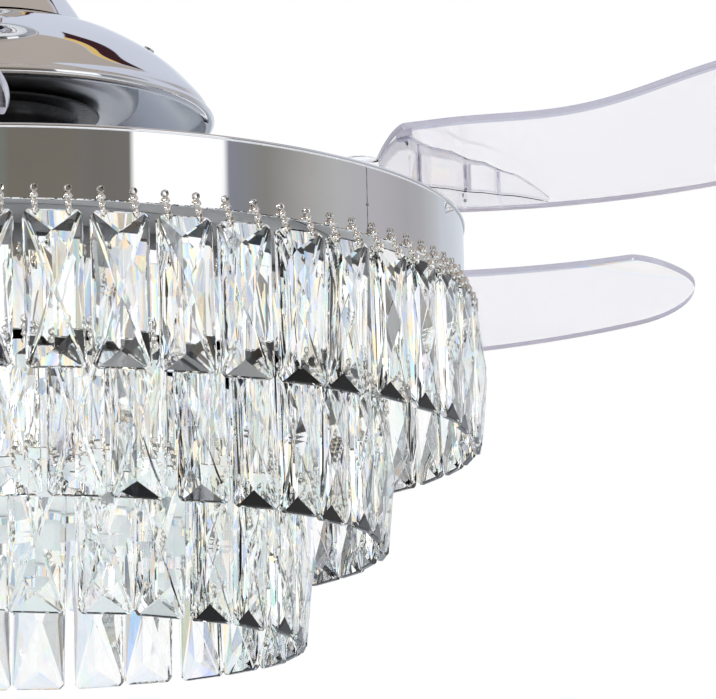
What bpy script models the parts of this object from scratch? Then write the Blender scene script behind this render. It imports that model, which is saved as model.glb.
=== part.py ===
"""Chandelier ceiling fan: folding clear blades over three tiers of hanging crystal prisms.

Metres, +Z up. The ceiling is z = 0 and the fan hangs below it on the z axis.
Heights named HEIGHT or Z are measured from the top edge of the outer lamp band.
"""

import math

import bmesh
import bpy
from mathutils import Matrix, Vector

# Overall layout
BAND_TOP = -0.340  # the outer band's top edge, below the ceiling
GAP = 0.0003  # between pieces that rest on each other
RUN_GAP = 0.0004  # between a shaft or pin and what turns on it
OVERRUN = 0.004  # how far a cutter passes through its wall
LATHE_STEPS = 20
SHOWN_STEPS = 28
SMALL_STEPS = 10

# Ceiling bracket and canopy
PLATE_RADIUS = 0.055
PLATE_THICK = 0.0025
BALL_RADIUS = 0.022
BALL_DROP = 0.032
BALL_FLAT = 0.016
BALL_CLEAR = 0.0005
SEAT_TOP = 0.003
SEAT_WIDTH = 0.0075
STRAP_THICK = 0.0030
STRAP_WIDTH = 0.0240
EAR_THICK = 0.0016
EAR_WIDTH = 0.0160
EAR_HEIGHT = 0.0150
PLATE_HOLE_RADIUS = 0.0026
PLATE_HOLE_SPREAD = 0.04445
WIRE_HOLE_RADIUS = 0.0090
WIRE_HOLE_OFFSET = 0.0270
CANOPY_MARGIN = 0.0100  # of the canopy outside the bracket's plate
CANOPY_RADIUS = PLATE_RADIUS + CANOPY_MARGIN
CANOPY_WALL = 0.0015
CANOPY_DEPTH = 0.0580
CANOPY_SKIRT = 0.0200
CANOPY_MOUTH = 0.0165
CEILING_GAP = 0.0006
SCREW_DROP = 0.0090
SCREW_RADIUS = 0.0020
SCREW_HEAD_RADIUS = 0.0042
SCREW_HEAD_DEEP = 0.0024
RECEIVER_SIZE = (0.050, 0.018, 0.020)

# Downrod, yoke and its bell cover
ROD_RADIUS = 0.0105
ROD_WALL = 0.0020
YOKE_RADIUS = 0.0190
YOKE_LOW = 0.1170
YOKE_HIGH = 0.1600
YOKE_STEP = 0.1365
YOKE_PIN_HEIGHT = 0.1500
YOKE_PIN_LENGTH = 0.0440
CROSS_PIN_RADIUS = 0.0030
BALL_PIN_LENGTH = 0.0300
BELL_WALL = 0.0014
BELL_SHAPE = ((0.0120, 0.1800), (0.0165, 0.1770), (0.0235, 0.1690), (0.0290, 0.1570),
              (0.0335, 0.1430), (0.0400, 0.1305), (0.0460, 0.1215), (0.0515, 0.1124))

# Motor
SHAFT_RADIUS = 0.0095
SHAFT_BORE = 0.0065
SHAFT_LOW = -0.0180
SHAFT_COLLAR_RADIUS = 0.0220
SHAFT_COLLAR_THICK = 0.0036
DOME_WALL = 0.0016
DOME_TOP = 0.1166
DOME_LIP = 0.0030
DOME_SHAPE = ((0.0300, 0.1166), (0.0420, 0.1144), (0.0570, 0.1100), (0.0716, 0.1045),
              (0.0880, 0.0949), (0.1000, 0.0856), (0.1096, 0.0757), (0.1150, 0.0690),
              (0.1162, 0.0645))
DOME_SCREW_RADIUS_AT = 0.0840
DOME_SCREW_HEIGHT = 0.0974
DOME_SCREW_TILT = math.radians(30.3)
DOME_SCREW_HEAD = 0.0030
DOME_SCREW_LIFT = 0.0006  # of the head off the dome
DOME_SCREW_TURNS = (math.radians(-8),)
ROTOR_RADIUS = 0.0790
ROTOR_WALL = 0.0025
ROTOR_LOW = 0.0680
ROTOR_SPLIT = 0.0884
ROTOR_SHOULDER = 0.0940
ROTOR_CROWN = 0.1040
ROTOR_CROWN_RADIUS = 0.0500
BEARING_RADIUS = 0.0186
BEARING_THICK = 0.0060
POCKET_WALL = 0.0028
POCKET_DEPTH = 0.0080
POCKET_MOUTH = 0.0125
STATOR_RADIUS = 0.0740
STATOR_LOW = 0.0800
STATOR_HIGH = 0.0900
STATOR_SLOTS = 12
STATOR_SLOT_WIDTH = 0.0050
STATOR_SLOT_DEPTH = 0.0160
DISH_SCREWS = 2

# Blade carrier and fold gears
HUB_RADIUS = 0.0450
HUB_WALL = 0.0050
HUB_FLANGE_WIDTH = 0.0130
SYNC_SEAT_WIDTH = 0.0110
DISH_SCREW_MARGIN = 0.0090  # of the dish screws outside the hub's flange
SPRING_CLEAR = 0.0050  # of the spring's middle line outside the hub
HUB_BORE = HUB_RADIUS - HUB_WALL
HUB_FLANGE_RADIUS = HUB_RADIUS + HUB_FLANGE_WIDTH
DISH_SCREW_CIRCLE = HUB_FLANGE_RADIUS + DISH_SCREW_MARGIN
HUB_FLANGE_THICK = 0.0040
CARRIER_LOW = 0.0040
CARRIER_THICK = 0.0050
CARRIER_RADIUS = 0.1520
CARRIER_BORE = 0.0200
ARM_WIDTH = 0.0300
PIN_RADIUS = 0.0040
PIN_TOP = 0.0245
PIN_HEAD_RADIUS = 0.0070
PIN_HEAD_THICK = 0.0024
GEAR_MODULE = 0.0025
PINION_TEETH = 20
SYNC_TEETH = 140
PIVOT_RADIUS = GEAR_MODULE * (PINION_TEETH + SYNC_TEETH) / 2  # blade pivots, from the fan's axis
GEAR_LOW = 0.0105
GEAR_THICK = 0.0040
GEAR_SEAT = 0.0095  # radius of the raised seat under each pinion
SYNC_SEAT = HUB_RADIUS + SYNC_SEAT_WIDTH
BACKLASH = 0.0005
PRESSURE = math.radians(20)
ADDENDUM_SHARE = 0.80
DEDENDUM_SHARE = 1.15
MESH_TEETH = 3  # teeth kept on each side of those that meet as the blades fold
SPRING_RADIUS = HUB_RADIUS + SPRING_CLEAR
SPRING_WIRE = 0.0016
SPRING_TURNS = 3
SPRING_POINTS = 10
SPRING_PITCH = 0.0030

# Blades
BLADES = 4
BLADE_INSET = 0.0040  # of the pivots outside the blade's inner edge
BLADE_WIDTH = 0.0684
BLADE_INNER = PIVOT_RADIUS - BLADE_INSET
BLADE_OUTER = BLADE_INNER + BLADE_WIDTH
# Height of each edge: at the pivot, then per radian of arc, then per radian squared
BLADE_INNER_LINE = (0.0422, 0.0280, -0.0070)
BLADE_OUTER_LINE = (0.0157, 0.0003, 0.0045)
BLADE_CROWN = 0.0020  # how far the blade bows up between its edges
BLADE_THICK = 0.0038
# The inner edge sags between two turns near the root
SAG_DEPTH = 0.0046
SAG_START = math.radians(12)
SAG_REACH = math.radians(44)
# Ends of the blade's arc: where each edge stops, and the round between them
TIP_TURN = math.radians(150.5)
TIP_INNER = math.radians(5)
TIP_OUTER = math.radians(14)
TIP_PEAK_SHARE = 0.50
ROOT_TURN = math.radians(4.2)
ROOT_INNER = math.radians(3)
ROOT_OUTER = math.radians(3)
ROOT_PEAK_SHARE = 0.70
FACET = math.radians(5)  # of the blade's arc, shared with its holder
SHEET_ARC_FACETS = 31
SHEET_STRIPS = 2
PIVOT_TURN = math.radians(-17.3)  # the first pivot's place about the axis
OPEN_TURN = math.radians(118)
HOLDER_THICK = 0.0024
HOLDER_EDGE = 0.0050
HOLDER_FIRST_FACET = 1
HOLDER_LAST_FACET = 5
BOSS_RADIUS = 0.0110
BOSS_TOP = 0.0280
TONGUE_THICK = 0.0020  # of the flat plate that joins the boss to the ribs
# Its corners in plan, as distance outside the pivot and turn
TONGUE = ((-0.0095, math.radians(-1.5)), (0.0095, math.radians(-1.5)), (0.0400, math.radians(4)),
          (0.0440, math.radians(24)), (0.0060, math.radians(24)), (-0.0095, math.radians(6)))
RIB_THICK = 0.0024
RIB_FLOOR = 0.0150
RIB_DEPTH = 0.0030  # of a rib at its outer end
RIB_TURNS = (math.radians(9.5), math.radians(17), math.radians(22.5))
BLADE_SCREW_RADIUS = 0.0013
BLADE_SCREW_HEAD = 0.0023
BLADE_SCREW_DEEP = 0.0014  # of the head
# As a share of the blade's width from its inner edge, and turn
BLADE_SCREW_PLACES = ((0.2600, math.radians(8.2)), (0.8800, math.radians(16.2)))

# Lamp
BAND_WALL = 0.0012
BAND_BEAD = 0.0011
PLATE_TOP = -0.0046
LAMP_PLATE_THICK = 0.0015
PLATE_CLEAR = 0.0008
LEDGE_WIDTH = 0.0120
LEDGE_THICK = 0.0012
NUT_RADIUS = 0.0150
NUT_THICK = 0.0080
BOARD_INNER = 0.0720
BOARD_OUTER = 0.1320
BOARD_THICK = 0.0016
DRIVER_SIZE = (0.070, 0.034, 0.022)
DRIVER_OFFSET = 0.0400
DIFFUSER_THICK = 0.0025
DIFFUSER_LIFT = 0.0120

# Crystal tiers: name, band radius, band bottom height, prisms, turn of the first from -Y
TIERS = (
    ("outer", 0.2500, -0.0368, 49, math.radians(6.5)),
    ("middle", 0.2020, -0.0900, 40, math.radians(11.2)),
    ("inner", 0.1565, -0.1400, 31, math.radians(7.9)),
)
HOOK_HEIGHT = 0.0060  # of the hook holes over the band's lower edge
HOOK_HOLE = 0.0024
HOOK_EVERY = 5  # prisms from one hanger of a tier to the next
HOOK_REACH = 0.0040  # of a hanger behind the band
WIRE = 0.0016
HANG_OUT = 0.0035
PRISM_LENGTH = 0.0760
PRISM_WIDTH = 0.0288
PRISM_THICK = 0.0120
PRISM_EDGE = 0.0040
PRISM_CORNER = 0.0050
PRISM_DROP = 0.0060

COLOURS = {
    "chrome": ((0.82, 0.83, 0.85, 1), 0.08, 1.0),
    "steel": ((0.62, 0.63, 0.65, 1), 0.30, 1.0),
    "dark_paint": ((0.06, 0.06, 0.07, 1), 0.45, 0.0),
    "white_paint": ((0.85, 0.85, 0.84, 1), 0.40, 0.0),
    "copper": ((0.72, 0.38, 0.22, 1), 0.35, 1.0),
    "clear_plastic": ((0.80, 0.77, 0.86, 1), 0.05, 0.0),
    "crystal": ((0.90, 0.92, 0.96, 1), 0.02, 0.0),
    "board": ((0.90, 0.90, 0.88, 1), 0.50, 0.0),
    "black_plastic": ((0.04, 0.04, 0.045, 1), 0.50, 0.0),
    "frosted": ((0.93, 0.93, 0.91, 1), 0.60, 0.0),
}


def clear_scene():
    for obj in list(bpy.data.objects):
        bpy.data.objects.remove(obj, do_unlink=True)


def new_collection(name):
    made = bpy.data.collections.new(name)
    bpy.context.scene.collection.children.link(made)
    return made


def new_material(name, colour, roughness, metallic):
    made = bpy.data.materials.new(name)
    made.use_nodes = True
    shader = made.node_tree.nodes["Principled BSDF"]
    shader.inputs["Base Color"].default_value = colour
    shader.inputs["Roughness"].default_value = roughness
    shader.inputs["Metallic"].default_value = metallic
    return made


def band_height(height):
    """A height over the outer band's top edge, as a world z."""
    return BAND_TOP + height


def add(name, mesh, look, place=(0, 0, 0), turn=0.0, parent=None, smooth=True):
    obj = bpy.data.objects.new(name, mesh)
    PARTS.objects.link(obj)
    obj.location = place
    obj.rotation_euler.z = turn
    obj.parent = parent
    colour, roughness, metallic = COLOURS[look]
    obj.data.materials.append(new_material(name, colour, roughness, metallic))
    for face in obj.data.polygons:
        face.use_smooth = smooth
    return obj


def as_cutter(obj):
    PARTS.objects.unlink(obj)
    CUTTERS.objects.link(obj)
    obj.hide_render = True
    obj.display_type = "WIRE"
    return obj


def boolean(obj, other, operation="DIFFERENCE"):
    step = obj.modifiers.new(other.name, "BOOLEAN")
    step.object = other
    step.operation = operation
    step.solver = "EXACT"


def mesh_of(name, build):
    work = bmesh.new()
    build(work)
    mesh = bpy.data.meshes.new(name)
    work.to_mesh(mesh)
    work.free()
    return mesh


def profile_mesh(name, profile, closed):
    """Points (radius, z) and the edges between them, ready for a Screw modifier."""
    def build(work):
        points = [work.verts.new((radius, 0, z)) for radius, z in profile]
        for first, second in zip(points, points[1:]):
            work.edges.new((first, second))
        if closed:
            work.edges.new((points[-1], points[0]))
    return mesh_of(name, build)


def spin(obj, angle=2 * math.pi, steps=LATHE_STEPS, rise=0.0):
    screw = obj.modifiers.new("Screw", "SCREW")
    screw.angle = angle
    screw.screw_offset = rise
    screw.steps = steps
    screw.render_steps = steps
    screw.use_merge_vertices = True
    screw.merge_threshold = 0.00001
    screw.use_smooth_shade = True
    return screw


def lathe(name, profile, look, steps=LATHE_STEPS, closed=True, **where):
    """A solid of revolution. The profile runs down the outer side and back up the inner one."""
    obj = add(name, profile_mesh(name, profile, closed), look, **where)
    spin(obj, steps=steps)
    return obj


def ring(name, inner, outer, low, high, look, steps=LATHE_STEPS, **where):
    profile = ((outer, high), (outer, low), (inner, low), (inner, high))
    return lathe(name, profile, look, steps, **where)


def rod(name, radius, low, high, look, steps=LATHE_STEPS, **where):
    profile = ((0, high), (radius, high), (radius, low), (0, low))
    return lathe(name, profile, look, steps, closed=False, **where)


def box(name, size, look, place, turn=0.0, parent=None):
    def build(work):
        bmesh.ops.create_cube(work, size=1)
        bmesh.ops.scale(work, vec=Vector(size), verts=work.verts)
    return add(name, mesh_of(name, build), look, place, turn, parent, smooth=False)


def extruded(work, outline, low, high):
    """Adds a flat outline (x, y), drawn anticlockwise, as a prism between two heights."""
    face = work.faces.new([work.verts.new((x, y, low)) for x, y in outline])
    bmesh.ops.reverse_faces(work, faces=[face])
    grown = bmesh.ops.extrude_face_region(work, geom=[face], use_keep_orig=True)
    tops = [item for item in grown["geom"] if isinstance(item, bmesh.types.BMVert)]
    bmesh.ops.translate(work, vec=(0, 0, high - low), verts=tops)
    bmesh.ops.recalc_face_normals(work, faces=work.faces)


def plate(name, outline, low, high, look, **where):
    def build(work):
        extruded(work, outline, low, high)
    return add(name, mesh_of(name, build), look, smooth=False, **where)


def running_bore(radius, steps):
    """Radius of a faceted bore that a faceted shaft can turn in."""
    return (radius + RUN_GAP) / math.cos(math.pi / steps)


def lying(obj, turn=0.0):
    """Turns a piece made along z so that it lies along x, then about the fan's axis."""
    obj.rotation_euler = (0, math.pi / 2, turn)
    return obj


def around(radius, turn):
    return radius * math.cos(turn), radius * math.sin(turn)


def pivot_turn(index):
    return PIVOT_TURN + index * 2 * math.pi / BLADES


# Ceiling bracket, canopy and what they hold

def make_bracket():
    bracket = rod("ceiling_bracket", PLATE_RADIUS, -PLATE_THICK, 0, "steel")
    seat_radius = BALL_RADIUS + BALL_CLEAR
    seat_low = BALL_FLAT
    outer = seat_radius + SEAT_WIDTH
    arc = [-SEAT_TOP - (seat_low - SEAT_TOP) * (1 - step / 4) for step in range(5)]
    inner = [(math.sqrt(seat_radius ** 2 - z ** 2), z) for z in arc]
    profile = [(outer, -SEAT_TOP), (outer, -seat_low)] + inner
    seat = lathe("seat_join", profile, "steel", place=(0, 0, -BALL_DROP))
    boolean(bracket, as_cutter(seat), "UNION")
    height = BALL_DROP + seat_low
    for side in (-1, 1):
        strap_at = side * (outer - STRAP_THICK / 2 + GAP)
        strap = box(f"strap_join_{side}", (STRAP_THICK, STRAP_WIDTH, height), "steel",
                    (strap_at, 0, -height / 2 - PLATE_THICK / 4))
        boolean(bracket, as_cutter(strap), "UNION")
        ear_at = side * (PLATE_RADIUS - 2 * EAR_THICK)
        ear = box(f"ear_join_{side}", (EAR_THICK, EAR_WIDTH, EAR_HEIGHT), "steel",
                  (ear_at, 0, -EAR_HEIGHT / 2 - PLATE_THICK / 4))
        bore = lying(rod(f"ear_hole_{side}", SCREW_RADIUS + GAP, ear_at - EAR_THICK,
                         ear_at + EAR_THICK, "steel", SMALL_STEPS, place=(0, 0, -SCREW_DROP)))
        boolean(ear, as_cutter(bore))
        boolean(bracket, as_cutter(ear), "UNION")
        hole = rod(f"plate_hole_{side}", PLATE_HOLE_RADIUS, -OVERRUN, OVERRUN, "steel",
                   place=(0, side * PLATE_HOLE_SPREAD, 0))
        boolean(bracket, as_cutter(hole))
    wires = rod("wire_hole", WIRE_HOLE_RADIUS, -OVERRUN, OVERRUN, "steel", SMALL_STEPS,
                place=(0, -WIRE_HOLE_OFFSET, 0))
    boolean(bracket, as_cutter(wires))


def make_ball():
    top = BALL_FLAT
    bore = ROD_RADIUS + GAP
    start = math.acos(top / BALL_RADIUS)
    arc = [start + (math.pi - 2 * start) * step / 8 for step in range(9)]
    outer = [(BALL_RADIUS * math.sin(turn), BALL_RADIUS * math.cos(turn)) for turn in arc]
    ball = lathe("hanger_ball", outer + [(bore, -top), (bore, top)], "dark_paint",
                 place=(0, 0, -BALL_DROP))
    hole = lying(rod("ball_pin_hole", CROSS_PIN_RADIUS + GAP, -BALL_RADIUS - OVERRUN,
                     BALL_RADIUS + OVERRUN, "steel", SMALL_STEPS, place=(0, 0, -BALL_DROP)))
    boolean(ball, as_cutter(hole))
    pin = rod("ball_pin", CROSS_PIN_RADIUS, -BALL_PIN_LENGTH / 2, BALL_PIN_LENGTH / 2, "steel",
              SMALL_STEPS, place=(0, 0, -BALL_DROP))
    lying(pin)


def make_canopy():
    radius = CANOPY_RADIUS
    drop = CANOPY_DEPTH - CANOPY_SKIRT
    arc = [math.pi / 2 * step / 6 for step in range(7)]

    def curve(inset):
        return [(CANOPY_MOUTH + (radius - inset - CANOPY_MOUTH) * math.cos(turn),
                 -CANOPY_SKIRT - (drop - inset) * math.sin(turn)) for turn in arc]
    outer = [(radius, -CEILING_GAP)] + curve(0)
    inner = curve(CANOPY_WALL)[::-1] + [(radius - CANOPY_WALL, -CEILING_GAP)]
    canopy = lathe("canopy", outer + inner, "chrome", SHOWN_STEPS)
    reach = radius + SCREW_HEAD_DEEP
    bore = lying(rod("canopy_hole", SCREW_RADIUS + GAP, -reach, reach, "steel", SMALL_STEPS,
                     place=(0, 0, -SCREW_DROP)))
    boolean(canopy, as_cutter(bore))
    for number, turn in ((1, 0), (2, math.pi)):
        shank = PLATE_RADIUS - 3 * EAR_THICK
        head = radius + GAP
        profile = ((0, head + SCREW_HEAD_DEEP), (SCREW_HEAD_RADIUS, head + SCREW_HEAD_DEEP),
                   (SCREW_HEAD_RADIUS, head), (SCREW_RADIUS, head), (SCREW_RADIUS, shank),
                   (0, shank))
        screw = lathe(f"canopy_screw_{number}", profile, "chrome", SMALL_STEPS, closed=False,
                      place=(0, 0, -SCREW_DROP))
        lying(screw, turn)


def make_receiver():
    length, width, height = RECEIVER_SIZE
    seat_outer = BALL_RADIUS + BALL_CLEAR + SEAT_WIDTH
    box("receiver_box", RECEIVER_SIZE, "black_plastic",
        (0, seat_outer + GAP * 2 + width / 2, -PLATE_THICK - GAP - height / 2))


# Downrod, yoke and bell cover

def make_downrod():
    low = band_height(YOKE_STEP + GAP)
    high = -BALL_DROP + BALL_FLAT
    downrod = ring("downrod", ROD_RADIUS - ROD_WALL, ROD_RADIUS, low, high, "chrome")
    for name, height in (("rod_top_hole", -BALL_DROP),
                         ("rod_low_hole", band_height(YOKE_PIN_HEIGHT))):
        hole = lying(rod(name, CROSS_PIN_RADIUS + GAP, -YOKE_RADIUS, YOKE_RADIUS, "steel",
                         SMALL_STEPS, place=(0, 0, height)))
        boolean(downrod, as_cutter(hole))


def make_yoke():
    upper = ROD_RADIUS + GAP
    lower = SHAFT_RADIUS + GAP
    low, step, high = band_height(YOKE_LOW), band_height(YOKE_STEP), band_height(YOKE_HIGH)
    profile = ((YOKE_RADIUS, high), (YOKE_RADIUS, low), (lower, low), (lower, step),
               (upper, step), (upper, high))
    yoke = lathe("yoke", profile, "dark_paint")
    height = band_height(YOKE_PIN_HEIGHT)
    hole = lying(rod("yoke_pin_hole", CROSS_PIN_RADIUS + GAP, -YOKE_RADIUS - OVERRUN,
                     YOKE_RADIUS + OVERRUN, "steel", SMALL_STEPS, place=(0, 0, height)))
    boolean(yoke, as_cutter(hole))
    lying(rod("yoke_pin", CROSS_PIN_RADIUS, -YOKE_PIN_LENGTH / 2, YOKE_PIN_LENGTH / 2, "steel",
              SMALL_STEPS, place=(0, 0, height)))


def shell_profile(shape, wall):
    """The outer side from top to rim, then the inner side back, one wall thickness in."""
    outer = [Vector(point) for point in shape]
    inner = []
    for index, point in enumerate(outer):
        before = outer[max(index - 1, 0)]
        after = outer[min(index + 1, len(outer) - 1)]
        along = (after - before).normalized()
        inner.append(point + Vector((along.y, -along.x)) * wall)
    inner[0].y = outer[0].y - wall
    inner[-1].y = outer[-1].y
    return outer, inner


def make_bell():
    outer, inner = shell_profile(BELL_SHAPE, BELL_WALL)
    mouth = ROD_RADIUS + GAP
    top = [Vector((mouth, inner[0].y)), Vector((mouth, outer[0].y))]
    profile = [(point.x, band_height(point.y)) for point in outer + inner[:0:-1] + top]
    lathe("coupling_cover", profile, "chrome", SHOWN_STEPS)


# Motor

def make_dome():
    outer, inner = shell_profile(DOME_SHAPE, DOME_WALL)
    mouth = SHAFT_RADIUS + GAP
    rim = outer[-1]
    lip = [rim + Vector((DOME_LIP * math.sin(turn), DOME_LIP * (math.cos(turn) - 1)))
           for turn in (math.radians(45), math.radians(90), math.radians(135), math.radians(180))]
    under = Vector((rim.x - DOME_WALL, rim.y - 2 * DOME_LIP))
    inner_top = Vector((inner[0].x, DOME_TOP - DOME_WALL))
    top = [Vector((mouth, DOME_TOP - DOME_WALL)), Vector((mouth, DOME_TOP))]
    shape = outer + lip + [under] + inner[-1:0:-1] + [inner_top] + top
    profile = [(point.x, band_height(point.y)) for point in shape]
    dome = lathe("motor_dome", profile, "chrome", SHOWN_STEPS)
    for number, turn in enumerate(DOME_SCREW_TURNS, 1):
        x, y = around(DOME_SCREW_RADIUS_AT, turn)
        place = (x, y, band_height(DOME_SCREW_HEIGHT))
        high = DOME_SCREW_LIFT + SCREW_HEAD_DEEP
        shank = ((0, high), (DOME_SCREW_HEAD, high), (DOME_SCREW_HEAD, DOME_SCREW_LIFT),
                 (SCREW_RADIUS, DOME_SCREW_LIFT), (SCREW_RADIUS, -OVERRUN), (0, -OVERRUN))
        screw = lathe(f"dome_screw_{number}", shank, "chrome", SMALL_STEPS, closed=False,
                      place=place)
        hole = rod(f"dome_hole_{number}", SCREW_RADIUS + GAP, -2 * OVERRUN, OVERRUN, "steel",
                   SMALL_STEPS, place=place)
        for piece in (screw, hole):
            piece.rotation_euler = (0, DOME_SCREW_TILT, turn)
        boolean(dome, as_cutter(hole))


def make_shaft():
    """The hollow fixed shaft, with the collar that carries the dome."""
    low, high = band_height(SHAFT_LOW), band_height(YOKE_STEP - GAP)
    collar_high = band_height(DOME_TOP - DOME_WALL - GAP)
    collar_low = collar_high - SHAFT_COLLAR_THICK
    profile = ((SHAFT_RADIUS, high), (SHAFT_RADIUS, collar_high),
               (SHAFT_COLLAR_RADIUS, collar_high), (SHAFT_COLLAR_RADIUS, collar_low),
               (SHAFT_RADIUS, collar_low), (SHAFT_RADIUS, low), (SHAFT_BORE, low),
               (SHAFT_BORE, high))
    lathe("motor_shaft", profile, "steel")


def make_stator():
    stator = ring("stator", SHAFT_RADIUS + GAP, STATOR_RADIUS, band_height(STATOR_LOW),
                  band_height(STATOR_HIGH), "copper")
    depth = STATOR_SLOT_DEPTH

    def build(work):
        for index in range(STATOR_SLOTS):
            turn = (index + 0.5) * 2 * math.pi / STATOR_SLOTS
            slot = bmesh.ops.create_cube(work, size=1)["verts"]
            size = (2 * depth, STATOR_SLOT_WIDTH, STATOR_HIGH - STATOR_LOW + OVERRUN)
            bmesh.ops.scale(work, vec=Vector(size), verts=slot)
            bmesh.ops.translate(work, vec=(STATOR_RADIUS, 0, 0), verts=slot)
            bmesh.ops.rotate(work, cent=(0, 0, 0), matrix=Matrix.Rotation(turn, 3, "Z"), verts=slot)
    middle = band_height((STATOR_LOW + STATOR_HIGH) / 2)
    slots = add("stator_slots", mesh_of("stator_slots", build), "steel", (0, 0, middle))
    boolean(stator, as_cutter(slots))


def make_rotor():
    """Two shells that close round the stator, each with a bearing pocket at its centre."""
    wall, radius = ROTOR_WALL, ROTOR_RADIUS
    pocket = running_bore(BEARING_RADIUS, LATHE_STEPS)
    pocket_outer = pocket + POCKET_WALL
    floor = ROTOR_LOW + wall
    lower = ((radius, ROTOR_SPLIT - GAP), (radius, ROTOR_LOW), (POCKET_MOUTH, ROTOR_LOW),
             (POCKET_MOUTH, floor), (pocket, floor), (pocket, floor + POCKET_DEPTH),
             (pocket_outer, floor + POCKET_DEPTH), (pocket_outer, floor), (radius - wall, floor),
             (radius - wall, ROTOR_SPLIT - GAP))
    lathe("rotor_lower_shell", [(r, band_height(z)) for r, z in lower], "dark_paint")
    ceiling = ROTOR_CROWN - wall
    upper = ((pocket_outer, ROTOR_CROWN), (ROTOR_CROWN_RADIUS, ROTOR_CROWN),
             (radius, ROTOR_SHOULDER), (radius, ROTOR_SPLIT), (radius - wall, ROTOR_SPLIT),
             (radius - wall, ROTOR_SHOULDER - wall), (ROTOR_CROWN_RADIUS, ceiling),
             (pocket_outer, ceiling), (pocket_outer, ceiling - POCKET_DEPTH),
             (pocket, ceiling - POCKET_DEPTH), (pocket, ceiling), (POCKET_MOUTH, ceiling),
             (POCKET_MOUTH, ROTOR_CROWN))
    lathe("rotor_upper_shell", [(r, band_height(z)) for r, z in upper], "dark_paint")
    for name, low in (("bearing_lower", floor + GAP),
                      ("bearing_upper", ceiling - GAP - BEARING_THICK)):
        ring(name, SHAFT_RADIUS + GAP, BEARING_RADIUS, band_height(low),
             band_height(low + BEARING_THICK), "steel")


def make_dish_screws():
    for number in range(1, DISH_SCREWS + 1):
        turn = (number - 0.5) * 2 * math.pi / DISH_SCREWS
        x, y = around(DISH_SCREW_CIRCLE, turn)
        top = ROTOR_LOW - GAP
        rod(f"dish_screw_{number}", SCREW_HEAD_RADIUS, band_height(top - SCREW_HEAD_DEEP),
            band_height(top), "steel", SMALL_STEPS, place=(x, y, 0))


# Blade carrier and fold gears

def make_hub():
    top = ROTOR_LOW - GAP
    low = CARRIER_LOW + CARRIER_THICK + GAP
    shape = ((HUB_FLANGE_RADIUS, top), (HUB_FLANGE_RADIUS, top - HUB_FLANGE_THICK),
             (HUB_RADIUS, top - HUB_FLANGE_THICK), (HUB_RADIUS, low), (HUB_BORE, low),
             (HUB_BORE, top))
    lathe("rotor_hub", [(r, band_height(z)) for r, z in shape], "steel")


def carrier_outline():
    """A disc with one round-ended arm to each blade pivot."""
    half = ARM_WIDTH / 2
    lean = math.asin(half / CARRIER_RADIUS)
    count = 8
    points = []
    for index in range(BLADES):
        turn = pivot_turn(index)
        for step in range(count + 1):
            swing = turn - math.pi / 2 + math.pi * step / count
            x, y = around(PIVOT_RADIUS, turn)
            end_x, end_y = around(half, swing)
            points.append((x + end_x, y + end_y))
        span = 2 * math.pi / BLADES - 2 * lean
        points += [around(CARRIER_RADIUS, turn + lean + span * step / count)
                   for step in range(count + 1)]
    return points


def make_carrier():
    low, high = band_height(CARRIER_LOW), band_height(CARRIER_LOW + CARRIER_THICK)
    carrier = plate("blade_carrier", carrier_outline(), low, high, "steel")
    centre = rod("carrier_bore", CARRIER_BORE, low - OVERRUN, high + OVERRUN, "steel")
    boolean(carrier, as_cutter(centre))
    for index in range(BLADES):
        x, y = around(PIVOT_RADIUS, pivot_turn(index))
        hole = rod(f"arm_hole_{index}", PIN_RADIUS + GAP, low - OVERRUN, high + OVERRUN, "steel",
                   SMALL_STEPS, place=(x, y, 0))
        boolean(carrier, as_cutter(hole))


def tooth_half_angle(teeth, radius):
    """Half the angle that an involute tooth covers at a radius."""
    pitch_radius = teeth * GEAR_MODULE / 2
    base = pitch_radius * math.cos(PRESSURE)
    at = math.acos(min(1.0, base / max(radius, base)))
    involute = math.tan(PRESSURE) - PRESSURE - (math.tan(at) - at)
    return math.pi / (2 * teeth) - BACKLASH / (2 * pitch_radius) + involute


def gear_outline(teeth, kept, start, plain_every):
    """Anticlockwise outline of a spur gear. The first tooth has its middle at start, and the
    teeth that aren't kept leave a plain arc with a point for every so many of them."""
    pitch_radius = teeth * GEAR_MODULE / 2
    root = pitch_radius - DEDENDUM_SHARE * GEAR_MODULE
    tip = pitch_radius + ADDENDUM_SHARE * GEAR_MODULE
    radii = (root, tip)
    points = []
    for index in range(teeth):
        middle = start + index * 2 * math.pi / teeth
        if index not in kept:
            if index % plain_every == 0:
                points.append(around(root, middle))
            continue
        halves = [tooth_half_angle(teeth, radius) for radius in radii]
        for radius, half in zip(radii, halves):
            points.append(around(radius, middle - half))
        for radius, half in zip(radii[::-1], halves[::-1]):
            points.append(around(radius, middle + half))
    return points


def meeting_teeth(teeth):
    """How many teeth of a gear pass the meeting point as the blades fold."""
    turn = OPEN_TURN * PINION_TEETH / teeth
    return math.ceil(turn * teeth / (2 * math.pi))


def make_sync_gear():
    spacing = SYNC_TEETH // BLADES
    before = meeting_teeth(SYNC_TEETH) + MESH_TEETH
    kept = {(index * spacing + step) % SYNC_TEETH
            for index in range(BLADES) for step in range(-before, MESH_TEETH + 1)}
    low, high = band_height(GEAR_LOW), band_height(GEAR_LOW + GEAR_THICK)
    gear = plate("sync_gear", gear_outline(SYNC_TEETH, kept, PIVOT_TURN, 4), low, high, "steel")
    seat_low = band_height(CARRIER_LOW + CARRIER_THICK + GAP)
    seat = rod("sync_seat", SYNC_SEAT, seat_low, (low + high) / 2, "steel")
    boolean(gear, as_cutter(seat), "UNION")
    bore = rod("sync_bore", running_bore(HUB_RADIUS, LATHE_STEPS), seat_low - OVERRUN,
               high + OVERRUN, "steel")
    boolean(gear, as_cutter(bore))


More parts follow.
